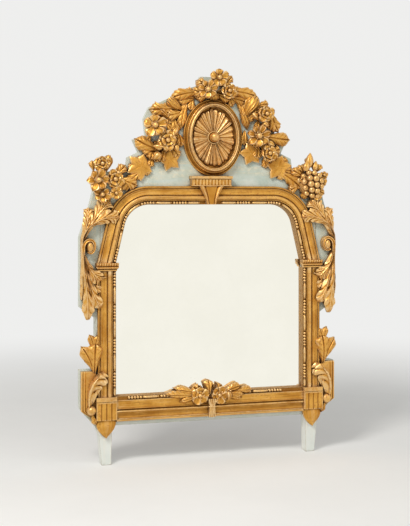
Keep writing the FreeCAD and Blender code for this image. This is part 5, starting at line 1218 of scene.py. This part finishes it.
# Garlands round the medallion. Leaves are (form, start, tip, half width, bow, heights), ivy leaves are
# (place, heading, reach), flowers are (x, z, radius, relief, form, lean), and buds are (start, tip, radius, relief).
# Undergrowth follows a line of places.
GARLANDS = {
    "left": {
        "undergrowth": ((-40, 1118), (-84, 1098), (-124, 1070), (-146, 1030), (-140, 986), (-160, 950), (-196, 922),
                        (-240, 880)),
        "leaves": (
            ("veined", (-42, 1122), (-134, 1100), 19, -0.12, (14, 24, 10)),
            ("veined", (-50, 1106), (-112, 1092), 17, -0.1, (6, 15, 8)),
            ("toothed", (-122, 1072), (-197, 1068), 24, 0.06, (12, 24, 12)),
            ("toothed", (-92, 1064), (-146, 1050), 21, 0.1, (8, 20, 16)),
            ("fan", (-94, 1070), (-138, 1104), 18, 0.15, (12, 28, 26)),
            ("veined", (-78, 1092), (-98, 1006), 16, -0.1, (6, 15, 8)),
            ("toothed", (-122, 1048), (-112, 994), 17, 0.0, (5, 12, 6)),
            ("toothed", (-132, 1040), (-166, 1070), 14, 0.0, (8, 26, 22)),
            ("toothed", (-108, 1000), (-98, 954), 17, 0.1, (6, 15, 8)),
            ("laurel", (-158, 944), (-243, 980), 22, 0.1, (12, 24, 10)),
            ("veined", (-172, 934), (-222, 946), 16, -0.1, (8, 17, 10)),
            ("toothed", (-128, 960), (-106, 924), 18, 0.0, (8, 20, 12)),
            ("toothed", (-150, 950), (-164, 908), 19, 0.0, (12, 20, 12)),
            ("toothed", (-184, 944), (-196, 916), 20, 0.0, (10, 22, 14)),
            ("toothed", (-226, 880), (-300, 828), 21, 0.1, (10, 18, 12)),
            ("veined", (-192, 992), (-206, 966), 13, 0.0, (10, 18, 10)),
        ),
        "ivy": (((-222, 896), 205, 45), ((-134, 918), 318, 38)),
        "flowers": ((-187, 1018, 37, 57, "dog_rose", (0.16, 0.05)), (-147, 974, 33, 52, "rose", (-0.12, -0.1))),
        "buds": (
            ((-162, 952), (-190, 956), 10, 34), ((-146, 944), (-160, 962), 10, 36), ((-168, 936), (-188, 916), 12, 28),
            ((-126, 992), (-112, 1016), 9, 30), ((-120, 960), (-112, 940), 9, 28),
        ),
    },
    "right": {
        "undergrowth": ((50, 1120), (96, 1096), (132, 1066), (162, 1034), (166, 992), (160, 950), (196, 920),
                        (238, 878)),
        "leaves": (
            ("veined", (52, 1128), (154, 1110), 19, 0.1, (14, 24, 10)),
            ("veined", (60, 1108), (112, 1094), 17, 0.1, (6, 15, 8)),
            ("fan", (106, 1052), (146, 1114), 26, 0.06, (10, 30, 24)),
            ("toothed", (98, 1092), (112, 1052), 19, 0.0, (8, 16, 10)),
            ("laurel", (88, 1080), (116, 1010), 13, 0.12, (6, 17, 10)),
            ("toothed", (118, 1040), (152, 1070), 17, 0.0, (6, 17, 12)),
            ("toothed", (146, 1084), (186, 1092), 15, 0.1, (8, 16, 8)),
            ("toothed", (190, 1074), (218, 1004), 21, -0.14, (10, 22, 12)),
            ("veined", (176, 1040), (210, 1018), 16, 0.1, (8, 20, 14)),
            ("laurel", (166, 992), (257, 981), 21, -0.04, (14, 26, 12)),
            ("veined", (108, 1010), (104, 962), 14, 0.0, (5, 12, 6)),
            ("toothed", (190, 944), (222, 952), 18, 0.0, (10, 20, 12)),
            ("toothed", (150, 966), (144, 920), 20, 0.0, (8, 17, 12)),
            ("toothed", (224, 880), (294, 828), 24, 0.06, (10, 20, 12)),
        ),
        "ivy": (((128, 940), 245, 40), ((216, 898), 300, 45)),
        "flowers": (
            (168, 1060, 29, 50, "rose", (-0.1, 0.1)), (141, 991, 39, 58, "daisy", (0.12, 0.0)),
            (178, 938, 29, 50, "rose", (-0.1, -0.12)),
        ),
        "buds": (
            ((158, 1030), (176, 1022), 10, 34), ((172, 972), (196, 962), 10, 32), ((128, 1062), (146, 1040), 9, 26),
        ),
    },
}
TOP_LEAVES = (
    ("veined", (14, 1126), (104, 1122), 18, 0.12, (14, 24, 14)),
    ("veined", (0, 1118), (-66, 1132), 18, 0.1, (14, 24, 14)),
    ("toothed", (-14, 1136), (-50, 1160), 17, 0.0, (20, 34, 26)),
    ("toothed", (26, 1144), (60, 1176), 17, -0.1, (20, 36, 30)),
    ("fan", (4, 1128), (10, 1098), 18, 0.0, (20, 32, 22)),
    ("veined", (10, 1120), (58, 1100), 16, 0.0, (12, 22, 14)),
    ("veined", (-6, 1120), (-52, 1104), 16, 0.0, (12, 22, 14)),
)
TOP_FLOWERS = (
    (15, 1167, 31, 52, "dog_rose", (0.0, 0.12)), (-23, 1130, 33, 58, "daisy", (0.12, 0.0)),
    (48, 1128, 28, 48, "rose", (-0.1, 0.0)),
)
UNDERGROWTH_COUNT = 22
UNDERGROWTH_WIDTH = 15
UNDERGROWTH_HEIGHTS = (3, 11, 7)
# How long its leaves are, and how much that changes from leaf to leaf
UNDERGROWTH_REACH = (38, 6)


def add_undergrowth(carving, places):
    """Small leaves that spring from a line to both sides in turn."""
    line, _ = smooth_line(places)
    ahead = np.gradient(line, axis=0)
    for number in range(UNDERGROWTH_COUNT):
        at = int((number + 0.5) / UNDERGROWTH_COUNT * (LINE_COUNT - 1))
        side = 1 if number % 2 else -1
        heading = math.atan2(ahead[at][1], ahead[at][0]) + side * (0.75 + 0.3 * math.sin(number * 2.4))
        reach = UNDERGROWTH_REACH[0] + UNDERGROWTH_REACH[1] * math.sin(number * 1.7)
        tip = line[at] + reach * np.array((math.cos(heading), math.sin(heading)))
        veined_leaf(carving, line[at], tip, UNDERGROWTH_WIDTH, "toothed", 0.08 * side, UNDERGROWTH_HEIGHTS)


def gild_bouquet(name, node, leaves, flowers, buds=(), foot=0.0, unevenly=0.4, more=None):
    """Leaves, flowers and buds in one gilded piece, with what else a function adds to it."""
    carving = Carving()
    add_leaves(carving, leaves, foot)
    add_flowers(carving, flowers, foot)
    add_buds(carving, buds)
    if more:
        more(carving)
    gild(name, carving, node, unevenly=unevenly, patch=10)


def make_garlands():
    for name, parts in GARLANDS.items():
        foliage = Carving()
        add_undergrowth(foliage, parts["undergrowth"])
        add_leaves(foliage, parts["leaves"])
        for place, heading, reach in parts["ivy"]:
            ivy_leaf(foliage, place, heading, reach)
        gild(f"{name}_garland_foliage", foliage, f"{name}_garland_leaves", unevenly=0.7)
        gild_bouquet(f"{name}_garland_blooms", f"{name}_garland_flowers", (), parts["flowers"], parts["buds"])
    gild_bouquet("top_bouquet_carved", "top_bouquet", TOP_LEAVES, TOP_FLOWERS)


# Shoulders
LEFT_SHOULDER_FLOWERS = (
    (-346, 902, 26, 50, "rose", (0.1, 0.15)), (-358, 853, 37, 58, "anemone", (0.18, 0.0)),
    (-307, 856, 31, 54, "rose", (-0.15, 0.1)), (-346, 811, 29, 52, "anemone", (0.1, -0.15)),
    (-304, 815, 22, 48, "small", (-0.15, -0.1)),
)
LEFT_SHOULDER_LEAVES = (
    ("toothed", (-306, 862), (-270, 900), 18, 0.0, (14, 28, 18)),
    ("toothed", (-290, 858), (-232, 836), 20, 0.0, (10, 22, 12)),
    ("raffled", (-330, 880), (-320, 930), 16, 0.0, (10, 30, 20)),
    ("raffled", (-340, 800), (-322, 780), 18, 0.0, (12, 26, 20)),
    ("toothed", (-366, 880), (-372, 912), 14, 0.0, (12, 24, 16)),
)
RIGHT_SHOULDER_LEAVES = (
    ("toothed", (308, 862), (256, 890), 17, 0.0, (10, 24, 14)),
    ("toothed", (290, 842), (250, 822), 17, 0.0, (10, 22, 12)),
    ("toothed", (300, 872), (286, 904), 14, 0.0, (12, 24, 16)),
    ("toothed", (342, 880), (358, 906), 13, 0.0, (12, 24, 16)),
    ("toothed", (330, 830), (372, 812), 15, 0.0, (8, 20, 12)),
    ("raffled", (334, 816), (340, 784), 15, 0.0, (10, 24, 16)),
    ("raffled", (306, 820), (300, 796), 13, 0.0, (10, 22, 14)),
)
RIGHT_SHOULDER_FLOWERS = (
    (358, 850, 17, 30, "small", (0.1, 0)), (296, 858, 15, 34, "small", (0, 0)), (340, 808, 17, 32, "small", (0, -0.1)),
    (366, 872, 14, 26, "small", (0.1, 0)),
)
RIGHT_SHOULDER_BUDS = (
    ((312, 896), (317, 941), 13, 26), ((299, 884), (306, 917), 12, 31), ((330, 886), (336, 916), 10, 26),
)
# The mound under the berries, shaded a little by its low standing: its place, relief and radius. Then the tip on each
# berry, painted dark as shade by its low standing: how far it lies from the berry's middle, how deep, and its radius.
# Then the berries: x, z, relief and radius
BERRY_MOUND = (322, 845, 6, 40)
BERRY_TIP = (1, 1.6, 2.2)
BERRIES = (
    (311, 879, 38, 9.5), (329, 878, 40, 9.5), (345, 870, 38, 9), (295, 868, 32, 9), (313, 862, 44, 10),
    (332, 860, 47, 10.5), (296, 850, 38, 9.5), (351, 853, 40, 9.5), (315, 844, 48, 10.5), (334, 841, 48, 10),
    (353, 836, 38, 9), (300, 832, 38, 9.5), (319, 826, 44, 10), (337, 823, 42, 9.5), (283, 856, 24, 8),
    (305, 815, 32, 9), (323, 808, 34, 9), (341, 806, 32, 8.5),
)


def add_berries(carving):
    ball(carving, *BERRY_MOUND, 30, 12, squash=0.7, standing=0.3)
    off, deep, tip = BERRY_TIP
    for x, z, relief, radius in BERRIES:
        ball(carving, x, z, relief - radius, radius, 16, 10)
        # The tip's low standing makes the gilding paint it dark, as shade.
        ball(carving, x - off, z + off, relief - deep, tip, 8, 5, standing=0.1)
        post(carving, x, z, relief - radius, radius * 0.7, radius * 0.8)


def make_shoulders():
    gild_bouquet("left_shoulder_carved", "left_shoulder_bouquet", LEFT_SHOULDER_LEAVES, LEFT_SHOULDER_FLOWERS)
    gild_bouquet("right_shoulder_carved", "right_shoulder_bouquet", RIGHT_SHOULDER_LEAVES, RIGHT_SHOULDER_FLOWERS,
                 RIGHT_SHOULDER_BUDS, more=add_berries)


# Carving at the sides, drawn for the right side and mirrored for the left one. Each leaf has its rib's places,
# its widths outwards and inwards along the rib, its heights at the stalk, middle and tip, lobes, and pipes in each
UPPER_LEAVES = (
    (((399, 672), (392, 706), (386, 738), (382, 772)), ((4, 12, 17, 15, 0), (4, 14, 19, 16, 0)), (20, 24, 17), 2, 3),
    (((396, 678), (381, 712), (360, 744), (338, 770), (318, 792)), ((4, 18, 30, 26, 0), (4, 12, 22, 22, 0)),
     (24, 28, 23), 3, 3),
    (((403, 652), (398, 688), (378, 717), (348, 735), (318, 743), (290, 740)),
     ((3, 6, 16, 26, 22, 0), (3, 4, 8, 20, 20, 0)), (24, 33, 28), 3, 3),
)
UPPER_SLANT = 1.9
LOWER_LEAVES = (
    (((398, 634), (389, 606), (373, 580), (352, 558)), ((3, 8, 20, 24, 6), (5, 12, 21, 23, 7)), (24, 31, 27), 3, 2),
    (((396, 596), (384, 556), (369, 514), (351, 478)), ((4, 9, 15, 18, 6), (5, 12, 18, 18, 6)), (22, 31, 25), 2, 2),
    (((398, 610), (384, 574), (368, 542), (352, 518)), ((5, 14, 18, 18, 6), (5, 14, 18, 18, 6)), (14, 18, 15), 2, 2),
    (((396, 570), (385, 536), (376, 504), (370, 474)), ((5, 12, 14, 14, 5), (5, 12, 14, 14, 5)), (12, 16, 13), 2, 2),
    (((401, 596), (402, 560), (402, 530), (403, 500)), ((3, 5, 6, 6, 2), (3, 12, 16, 16, 3)), (18, 25, 18), 2, 2),
    (((400, 642), (398, 590), (393, 540), (388, 498), (385, 446)), ((5, 7, 10, 18, 7), (5, 15, 16, 21, 7)),
     (25, 36, 22), 2, 3),
)
LOWER_SLANT = 2.2
ACANTHUS_PARTS = {"upper_acanthus": (UPPER_LEAVES, UPPER_SLANT), "lower_acanthus": (LOWER_LEAVES, LOWER_SLANT)}
VINE_LEAVES = (
    ("plain", (366, 340), (379, 394), 11, 0.1, (8, 17, 13)),
    ("plain", (364, 340), (353, 390), 11, -0.1, (8, 15, 12)),
    ("plain", (366, 282), (404, 360), 18, 0.1, (12, 24, 15)),
    ("broad", (364, 278), (361, 366), 23, -0.05, (14, 27, 16)),
)


def mirrored(side, rows):
    """Leaves for a side: the left one has them the other way round."""
    return [(form, (side * start[0], start[1]), (side * tip[0], tip[1]), half_width, bend * side, heights)
            for form, start, tip, half_width, bend, heights in rows]


def add_acanthus(carving, side, rows, slant, foot=0.0):
    """Leaves along ribs, drawn for the right side. On the left side the two widths change places."""
    for places, widths, heights, lobes, pipes in rows:
        climbs = places[-1][1] > places[0][1]
        sides = widths if (side == RIGHT) != climbs else widths[::-1]
        acanthus(carving, [(side * x, z) for x, z in places], sides, heights, lobes, pipes, foot, slant)


# The scroll's oval eye, for the right side: its place, its half width and height, and its levels (share, drop).
# Then the turns of the band round it, how far the band lies from the eye's middle, and its own half widths
VOLUTE_EYE = (378, 654)
VOLUTE_EYE_SIZE = (9, 15)
VOLUTE_EYE_DROPS = ((1.2, 16), (1.1, 12), (1.0, 7), (0.86, 3.4), (0.6, 1.2), (0.3, 0.3), (0.03, 0))
VOLUTE_TURNS = 0.86
VOLUTE_ACROSS = (21, 18, 12.5, 10.5)
VOLUTE_ACROSS_SHARES = (0, 0.25, 0.6, 1)
VOLUTE_UP = (23, 17)
VOLUTE_WIDTHS = (2.4, 5.4, 3)
# The stem's lowest and highest z, the places along it, and how far it lies under the volute's front
VOLUTE_STEM = (596, 648)
VOLUTE_STEM_COUNT = 9
VOLUTE_SUNK = 4


def make_volute(side):
    """A scroll that rises along the wing's edge and rolls over an oval eye."""
    name = f"{SIDE_NAMES[side]}_volute"
    front = span(name)[2][1]
    x, z = side * VOLUTE_EYE[0], VOLUTE_EYE[1]
    thin, wide, end = VOLUTE_WIDTHS
    places = [(x + side * VOLUTE_ACROSS[0], height) for height in np.linspace(*VOLUTE_STEM, VOLUTE_STEM_COUNT)]
    widths, tops = list(np.linspace(thin, wide, VOLUTE_STEM_COUNT)), [front - VOLUTE_SUNK] * VOLUTE_STEM_COUNT
    for share in np.linspace(0, 1, 50):
        angle = TAU * VOLUTE_TURNS * share
        across = np.interp(share, VOLUTE_ACROSS_SHARES, VOLUTE_ACROSS)
        up = VOLUTE_UP[0] + (VOLUTE_UP[1] - VOLUTE_UP[0]) * share
        places.append((x + side * across * math.cos(angle), z + up * math.sin(angle)))
        widths.append(wide + (end - wide) * share)
        tops.append(front - VOLUTE_SUNK * (1 - share / 2))
    scroll = Carving()
    ribbon(scroll, np.array(places, float), widths, tops)
    levels = [(VOLUTE_EYE_DROPS[0][0], 0)] + [(out, front - drop) for out, drop in VOLUTE_EYE_DROPS]
    turned(scroll, x, z, VOLUTE_EYE_SIZE, levels, (0.1, 0.95), 32)
    gild(f"{name}_scroll", scroll, name, unevenly=0.2)


def ribbon(carving, places, widths, tops):
    """A band along a line of places, hollowed between raised edges."""
    across = np.linspace(-1, 1, 11)
    hollow = bell(across, 0.45)
    for i, (place, width, top) in enumerate(zip(places, widths, tops)):
        beside = aside_of(places[min(i + 1, len(places) - 1)] - places[max(i - 1, 0)])
        under = place + beside * (np.array((1, -1)) * width)[:, None]
        lift = top - 2.2 * hollow - 1.6 * np.abs(across) ** 6
        carving.row(place + beside * (across * width)[:, None], lift, 0.9 - 0.6 * hollow, under)
    carving.join_rows()


def make_side_carving(side):
    name = SIDE_NAMES[side]
    for part, (leaves, slant) in ACANTHUS_PARTS.items():
        acanthuses = Carving()
        add_acanthus(acanthuses, side, leaves, slant)
        gild(f"{name}_{part}_carved", acanthuses, f"{name}_{part}", unevenly=0.6)
    prongs = Carving()
    add_leaves(prongs, mirrored(side, VINE_LEAVES), edge=0.6)
    gild(f"{name}_vine_leaf_carved", prongs, f"{name}_vine_leaf", unevenly=0.6)
    make_volute(side)


# On the ears, for the right side: a half leaf, which opens over the moulding, with its ridge as places and radii, a
# drop under it, and a knob (x, z, relief, radius). The ear's hole goes through board and gilding.
EAR_LEAVES = (
    (((370, 196), (362, 234), (350, 262), (340, 284)), ((2, 5, 8, 8, 0), (3, 18, 27, 24, 4)), (18, 27, 25), 3, 1),
    (((382, 180), (382, 214), (375, 246), (354, 278)), ((2, 3, 3, 3, 0), (10, 30, 38, 36, 12)), (26, 37, 34), 4, 1),
)
EAR_SLANT = 1.0
EAR_RIDGE = ((382, 182, 27), (383, 206, 32), (379, 230, 35), (371, 250, 37), (358, 266, 36))
EAR_RIDGE_RADII = (2, 3.2, 3.8, 3.4, 1.6)
EAR_DROP = ("toothed", (372, 160), (360, 124), 10, 0.0, (14, 18, 14))
EAR_KNOB = (374, 169, 17, 14.5)
EAR_SEAT = 2.0
EAR_CORNER = 26
EAR_HOLE = (369.2, 199.4)
EAR_HOLE_RADIUS = 7.8


def make_ear(side):
    """A reeded gilt field on the ear, with a half leaf that curls over the moulding and a knob under it."""
    name = SIDE_NAMES[side]
    (left, right), (low, high), (_, front) = span(f"{name}_bracket")
    inner, outer = (left, right) if side == RIGHT else (right, left)
    corner = low + EAR_CORNER

    def edge_at(z):
        return outer if z > corner else inner + (outer - inner) * ((z - low) / EAR_CORNER) ** 0.8

    def reeds(across):
        from_outer = (1 - across) * abs(outer - inner)
        return bell(from_outer - 6, 1.1) + 0.7 * bell(from_outer - 14, 1.3)

    def relief(across, _):
        return front - 0.8 - 2.2 * reeds(across) - 1.0 * across ** 24

    rows = [(z, inner, edge_at(z)) for z in steps_between([low + 1, corner, high], 3)]
    pane = gild_field(f"{name}_ear_field", f"{name}_bracket", rows, relief, 40,
                      lambda across, _: 0.75 - 0.6 * reeds(across), unevenly=0.5)
    bore(pane, side * EAR_HOLE[0], EAR_HOLE[1], EAR_HOLE_RADIUS)
    carving = Carving()
    add_acanthus(carving, side, EAR_LEAVES, EAR_SLANT, EAR_SEAT)
    rod(carving, [(side * x, z, height) for x, z, height in EAR_RIDGE], EAR_RIDGE_RADII, 14, 1.0)
    add_leaves(carving, mirrored(side, [EAR_DROP]), EAR_SEAT)
    ball(carving, side * EAR_KNOB[0], *EAR_KNOB[1:], 24, 12)
    gild(f"{name}_ear_leaf", carving, f"{name}_bracket_leaf", unevenly=0.5)


def bore(piece, x, z, radius):
    """Cuts a round hole through a piece, from front to back."""
    mesh = bpy.data.meshes.new("bore")
    shell = bmesh.new()
    bmesh.ops.create_cone(shell, cap_ends=True, segments=32, radius1=radius * MM, radius2=radius * MM, depth=0.1)
    bmesh.ops.rotate(shell, verts=shell.verts, matrix=Matrix.Rotation(math.pi / 2, 3, "X"))
    bmesh.ops.translate(shell, verts=shell.verts, vec=(x * MM, BOARD_FRONT, z * MM))
    shell.to_mesh(mesh)
    shell.free()
    cutter = new_object("bore", mesh)
    cut = piece.modifiers.new("bore", "BOOLEAN")
    cut.operation, cut.object, cut.solver = "DIFFERENCE", cutter, "EXACT"
    bored = bpy.data.meshes.new_from_object(piece.evaluated_get(bpy.context.evaluated_depsgraph_get()))
    piece.modifiers.clear()
    piece.data = bored
    bpy.data.objects.remove(cutter)


# The bouquet in front of the foot moulding, low over it and carried down to the glass above it
BOTTOM_SEAT = GLASS_RELIEF + 0.5
BOTTOM_LEAVES = (
    ("laurel", (-46, 207), (-118, 219), 12, 0.04, (17, 17, 6)),
    ("laurel", (-50, 202), (-150, 204), 13, 0.04, (19, 23, 16)),
    ("laurel", (-50, 196), (-106, 181), 13, 0.0, (18, 23, 19)),
    ("laurel", (44, 207), (96, 220), 13, 0.04, (17, 17, 6)),
    ("laurel", (78, 207), (132, 207), 12, 0.0, (17, 20, 15)),
    ("laurel", (46, 199), (104, 195), 13, 0.0, (18, 24, 19)),
    ("laurel", (46, 192), (96, 184), 11, 0.0, (18, 23, 19)),
    ("plain", (14, 204), (34, 226), 16, 0.0, (16, 12, 2)),
    ("plain", (-38, 204), (-58, 224), 16, 0.0, (16, 12, 2)),
    ("broad", (-10, 198), (-10, 241), 15, 0.0, (20, 17, 8)),
)
BOTTOM_FLOWERS = (
    (-40, 197, 29, 28, "flat_rose", (0, 0)), (22, 196, 28, 28, "flat_rose", (0, 0)), (52, 198, 15, 25, "small", (0, 0)),
)
BOTTOM_BUD = ((50, 206), (50, 180), 10, 24)
# Its stalks: how far each lies from their middle, and at each level its spread, z, relief, and the radii of the stalk
# and of the wood behind it. The last level is at the bouquet's foot. Then the tie round them
STALK_MIDDLE = -2
STALK_OFFSETS = ((-8.5, 1.0), (-3, 0.8), (2.5, 0.8), (8, 1.0))
STALK_LEVELS = ((1.2, 186, 24), (0.72, 166, 25), (0.85, 148, 25))
STALK_RADII = (3.3, 2.5, 2.7, 2.4)
STALK_BACK_RADII = (4.4, 3.2, 3.6, 3.0)
TIE = ((-13, 163, 22), (-6, 164, 27), (2, 164, 27), (9, 163, 22))
TIE_RADII = (2, 2.2, 2.2, 2)


def add_stalks(carving):
    """The bottom bouquet's bud, its stalks with the wood behind them, and the tie round them."""
    foot = span("bottom_bouquet")[1][0]
    bud(carving, *BOTTOM_BUD)
    for offset, spread in STALK_OFFSETS:
        levels = STALK_LEVELS + ((spread, foot + 1, 23),)
        line = [(offset * share + STALK_MIDDLE, z, height) for share, z, height in levels]
        rod(carving, line, STALK_RADII, 14, 0.6)
        # The wood behind the stalks is marked low, so the gilding paints it dark as shade between them.
        rod(carving, [(x, z, height - 6) for x, z, height in line], STALK_BACK_RADII, 14, 0.1)
    rod(carving, TIE, TIE_RADII, 12, 0.9)


def make_bottom_bouquet():
    gild_bouquet("bottom_bouquet_carved", "bottom_bouquet", BOTTOM_LEAVES, BOTTOM_FLOWERS, foot=BOTTOM_SEAT,
                 unevenly=0.3, more=add_stalks)


# Ironwork at the back
def make_hanging_ring():
    (left, right), (low, high), (behind, before) = span("hanging_ring")
    relief, wire = middle_and_half((behind, before))
    x, z = (left + right) / 2, (low + high) / 2
    turn = around(16)
    reach = (right - left) / 2 - wire + wire * np.cos(turn)
    rings = [np.column_stack((x + reach * math.cos(t), z + reach * math.sin(t), relief + wire * np.sin(turn)))
             for t in around(64)]
    ring = Carving()
    ring.skin(rings, 0.6, closed=True)
    make_piece("pull_ring", ring, IRON, "wrought_iron", ["hanging_ring"], "ring", unevenly=0.12, patch=6)


# CAD nodes that stay as they are: their finish, and how far their edges are rounded
DRESSED = (
    (("left_stile_board", "right_stile_board"), UPRIGHT_PAINT, 1.0),
    (("bottom_rail_board", "crest_board"), CROSS_PAINT, 1.0),
    (("back_panel", "joint_pegs", "glass_blocks"), WOOD, 0.5),
    (("crest_batten",), BATTEN_WOOD, 0.5),
    (("mirror_glass",), SILVER, 0.0),
    (("hanger_plate", "hanger_eye", "hanger_nails", "panel_brads"), IRON, 0.2),
)
WELD_DISTANCE = 0.00002
ROUNDED_ANGLE = math.radians(30)


def dress(name, finish, rounding):
    """Gives a CAD node a finish, and rounds its edges a little."""
    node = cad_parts[name]
    node.data.materials.clear()
    node.data.materials.append(finish)
    if rounding:
        node.modifiers.new("weld", "WELD").merge_threshold = WELD_DISTANCE
        soft = node.modifiers.new("soft_edges", "BEVEL")
        soft.width, soft.segments, soft.limit_method, soft.angle_limit = rounding * MM, 2, "ANGLE", ROUNDED_ANGLE
        node.data.shade_smooth()
        node.modifiers.new("even_faces", "WEIGHTED_NORMAL").keep_sharp = False


for side in (LEFT, RIGHT):
    make_side_mouldings(side)
    make_capital(side)
    make_corner_block(side)
    make_pendant(side)
    make_side_carving(side)
    make_ear(side)
make_arch()
make_foot_moulding()
make_keystone()
make_keystone_cap()
make_medallion()
make_garlands()
make_shoulders()
make_bottom_bouquet()
make_hanging_ring()
for names, finish, rounding in DRESSED:
    for name in names:
        dress(name, finish, rounding)


# Studio

# What the glass and the gilding see of the room, what lights it, and what the camera sees behind the mirror
PALE_ROOM = (0.955, 0.94, 0.875, 1)
ROOM_LIGHT = (0.52, 0.52, 0.51, 1)
BACKGROUND = (0.86, 0.86, 0.85, 1)
FLOOR_HALF = 14.0
FLOOR_FADE = (0.9, 3.2)
LIT_PLACE = (0, 0, 0.65)
# Lamps: place, width and height, power and colour
LAMPS = {
    "window": ((-1.7, -1.9, 2.7), (0.9, 0.8), 62, (1.0, 0.97, 0.93)),
    "reflector": ((2.4, -2.2, 1.0), (1.4, 1.6), 8, (1.0, 0.98, 0.95)),
}
CAMERA_PLACE = (-0.9359, -3.1839, 0.803)
CAMERA_HEADING = -16
CAMERA_LENS = 74.12
CAMERA_SHIFT = -0.1255


def make_floor_material():
    """A matt pale ground. Well away from the mirror it takes on the room's own tone, so that no edge shows, and the
    glass sees that tone everywhere."""
    material, nodes, shader = start_material("pale_ground")
    tone = nodes.use(PATCHY_TONE, Patch_Size=0.5, Seed=30.0)["Tone"]
    nodes.feed(shader, "Base Color", nodes.blend(tone, (0.87, 0.87, 0.86, 1), (0.9, 0.9, 0.89, 1)))
    nodes.feed(shader, "Roughness", 0.9)
    place = nodes.add("ShaderNodeNewGeometry").outputs["Position"]
    away = nodes.add("ShaderNodeVectorMath", {"operation": "LENGTH"}, n0=place).outputs["Value"]
    path = nodes.add("ShaderNodeLightPath").outputs
    far = nodes.times(nodes.spread(away, *FLOOR_FADE), path["Is Camera Ray"])
    glow = nodes.add("ShaderNodeEmission", Color=nodes.blend(path["Is Glossy Ray"], BACKGROUND, PALE_ROOM))
    share = nodes.most(far, path["Is Glossy Ray"])
    mixed = nodes.add("ShaderNodeMixShader", n0=share, n1=shader.outputs[0], n2=glow.outputs[0])
    nodes.feed(material.node_tree.nodes["Material Output"], "Surface", mixed.outputs[0])
    return material


def make_stage():
    """A wide pale floor, with nothing behind the mirror."""
    half = FLOOR_HALF
    mesh = bpy.data.meshes.new("floor")
    mesh.from_pydata([(-half, -half, 0), (half, -half, 0), (half, half, 0), (-half, half, 0)], [], [(0, 1, 2, 3)])
    mesh.materials.append(make_floor_material())
    ground = new_object("floor", mesh)


def light_studio():
    for name, (place, size, power, colour) in LAMPS.items():
        lamp = bpy.data.lights.new(name, "AREA")
        lamp.shape, lamp.size, lamp.size_y = "RECTANGLE", *size
        lamp.energy, lamp.color = power, colour
        holder = new_object(name, lamp)
        holder.location = place
        holder.rotation_euler = (Vector(LIT_PLACE) - Vector(place)).to_track_quat("-Z", "Y").to_euler()
    world = bpy.data.worlds.new("pale_room")
    world.use_nodes = True
    bpy.context.scene.world = world
    nodes = Nodes(world.node_tree)
    path = nodes.add("ShaderNodeLightPath").outputs
    room = nodes.blend(path["Is Camera Ray"], ROOM_LIGHT, BACKGROUND)
    nodes.feed(world.node_tree.nodes["Background"], "Color", nodes.blend(path["Is Glossy Ray"], room, PALE_ROOM))


def set_camera():
    """A camera a little to the left, at the height of the glass, shifted down to hold the legs."""
    camera = bpy.data.cameras.new("camera")
    camera.sensor_width, camera.lens, camera.shift_y = 36, CAMERA_LENS, CAMERA_SHIFT
    holder = new_object("camera", camera)
    holder.location = CAMERA_PLACE
    holder.rotation_euler = (math.radians(90), 0, math.radians(CAMERA_HEADING))
    bpy.context.scene.camera = holder


make_stage()
light_studio()
set_camera()
bpy.context.scene.view_settings.view_transform = "Standard"
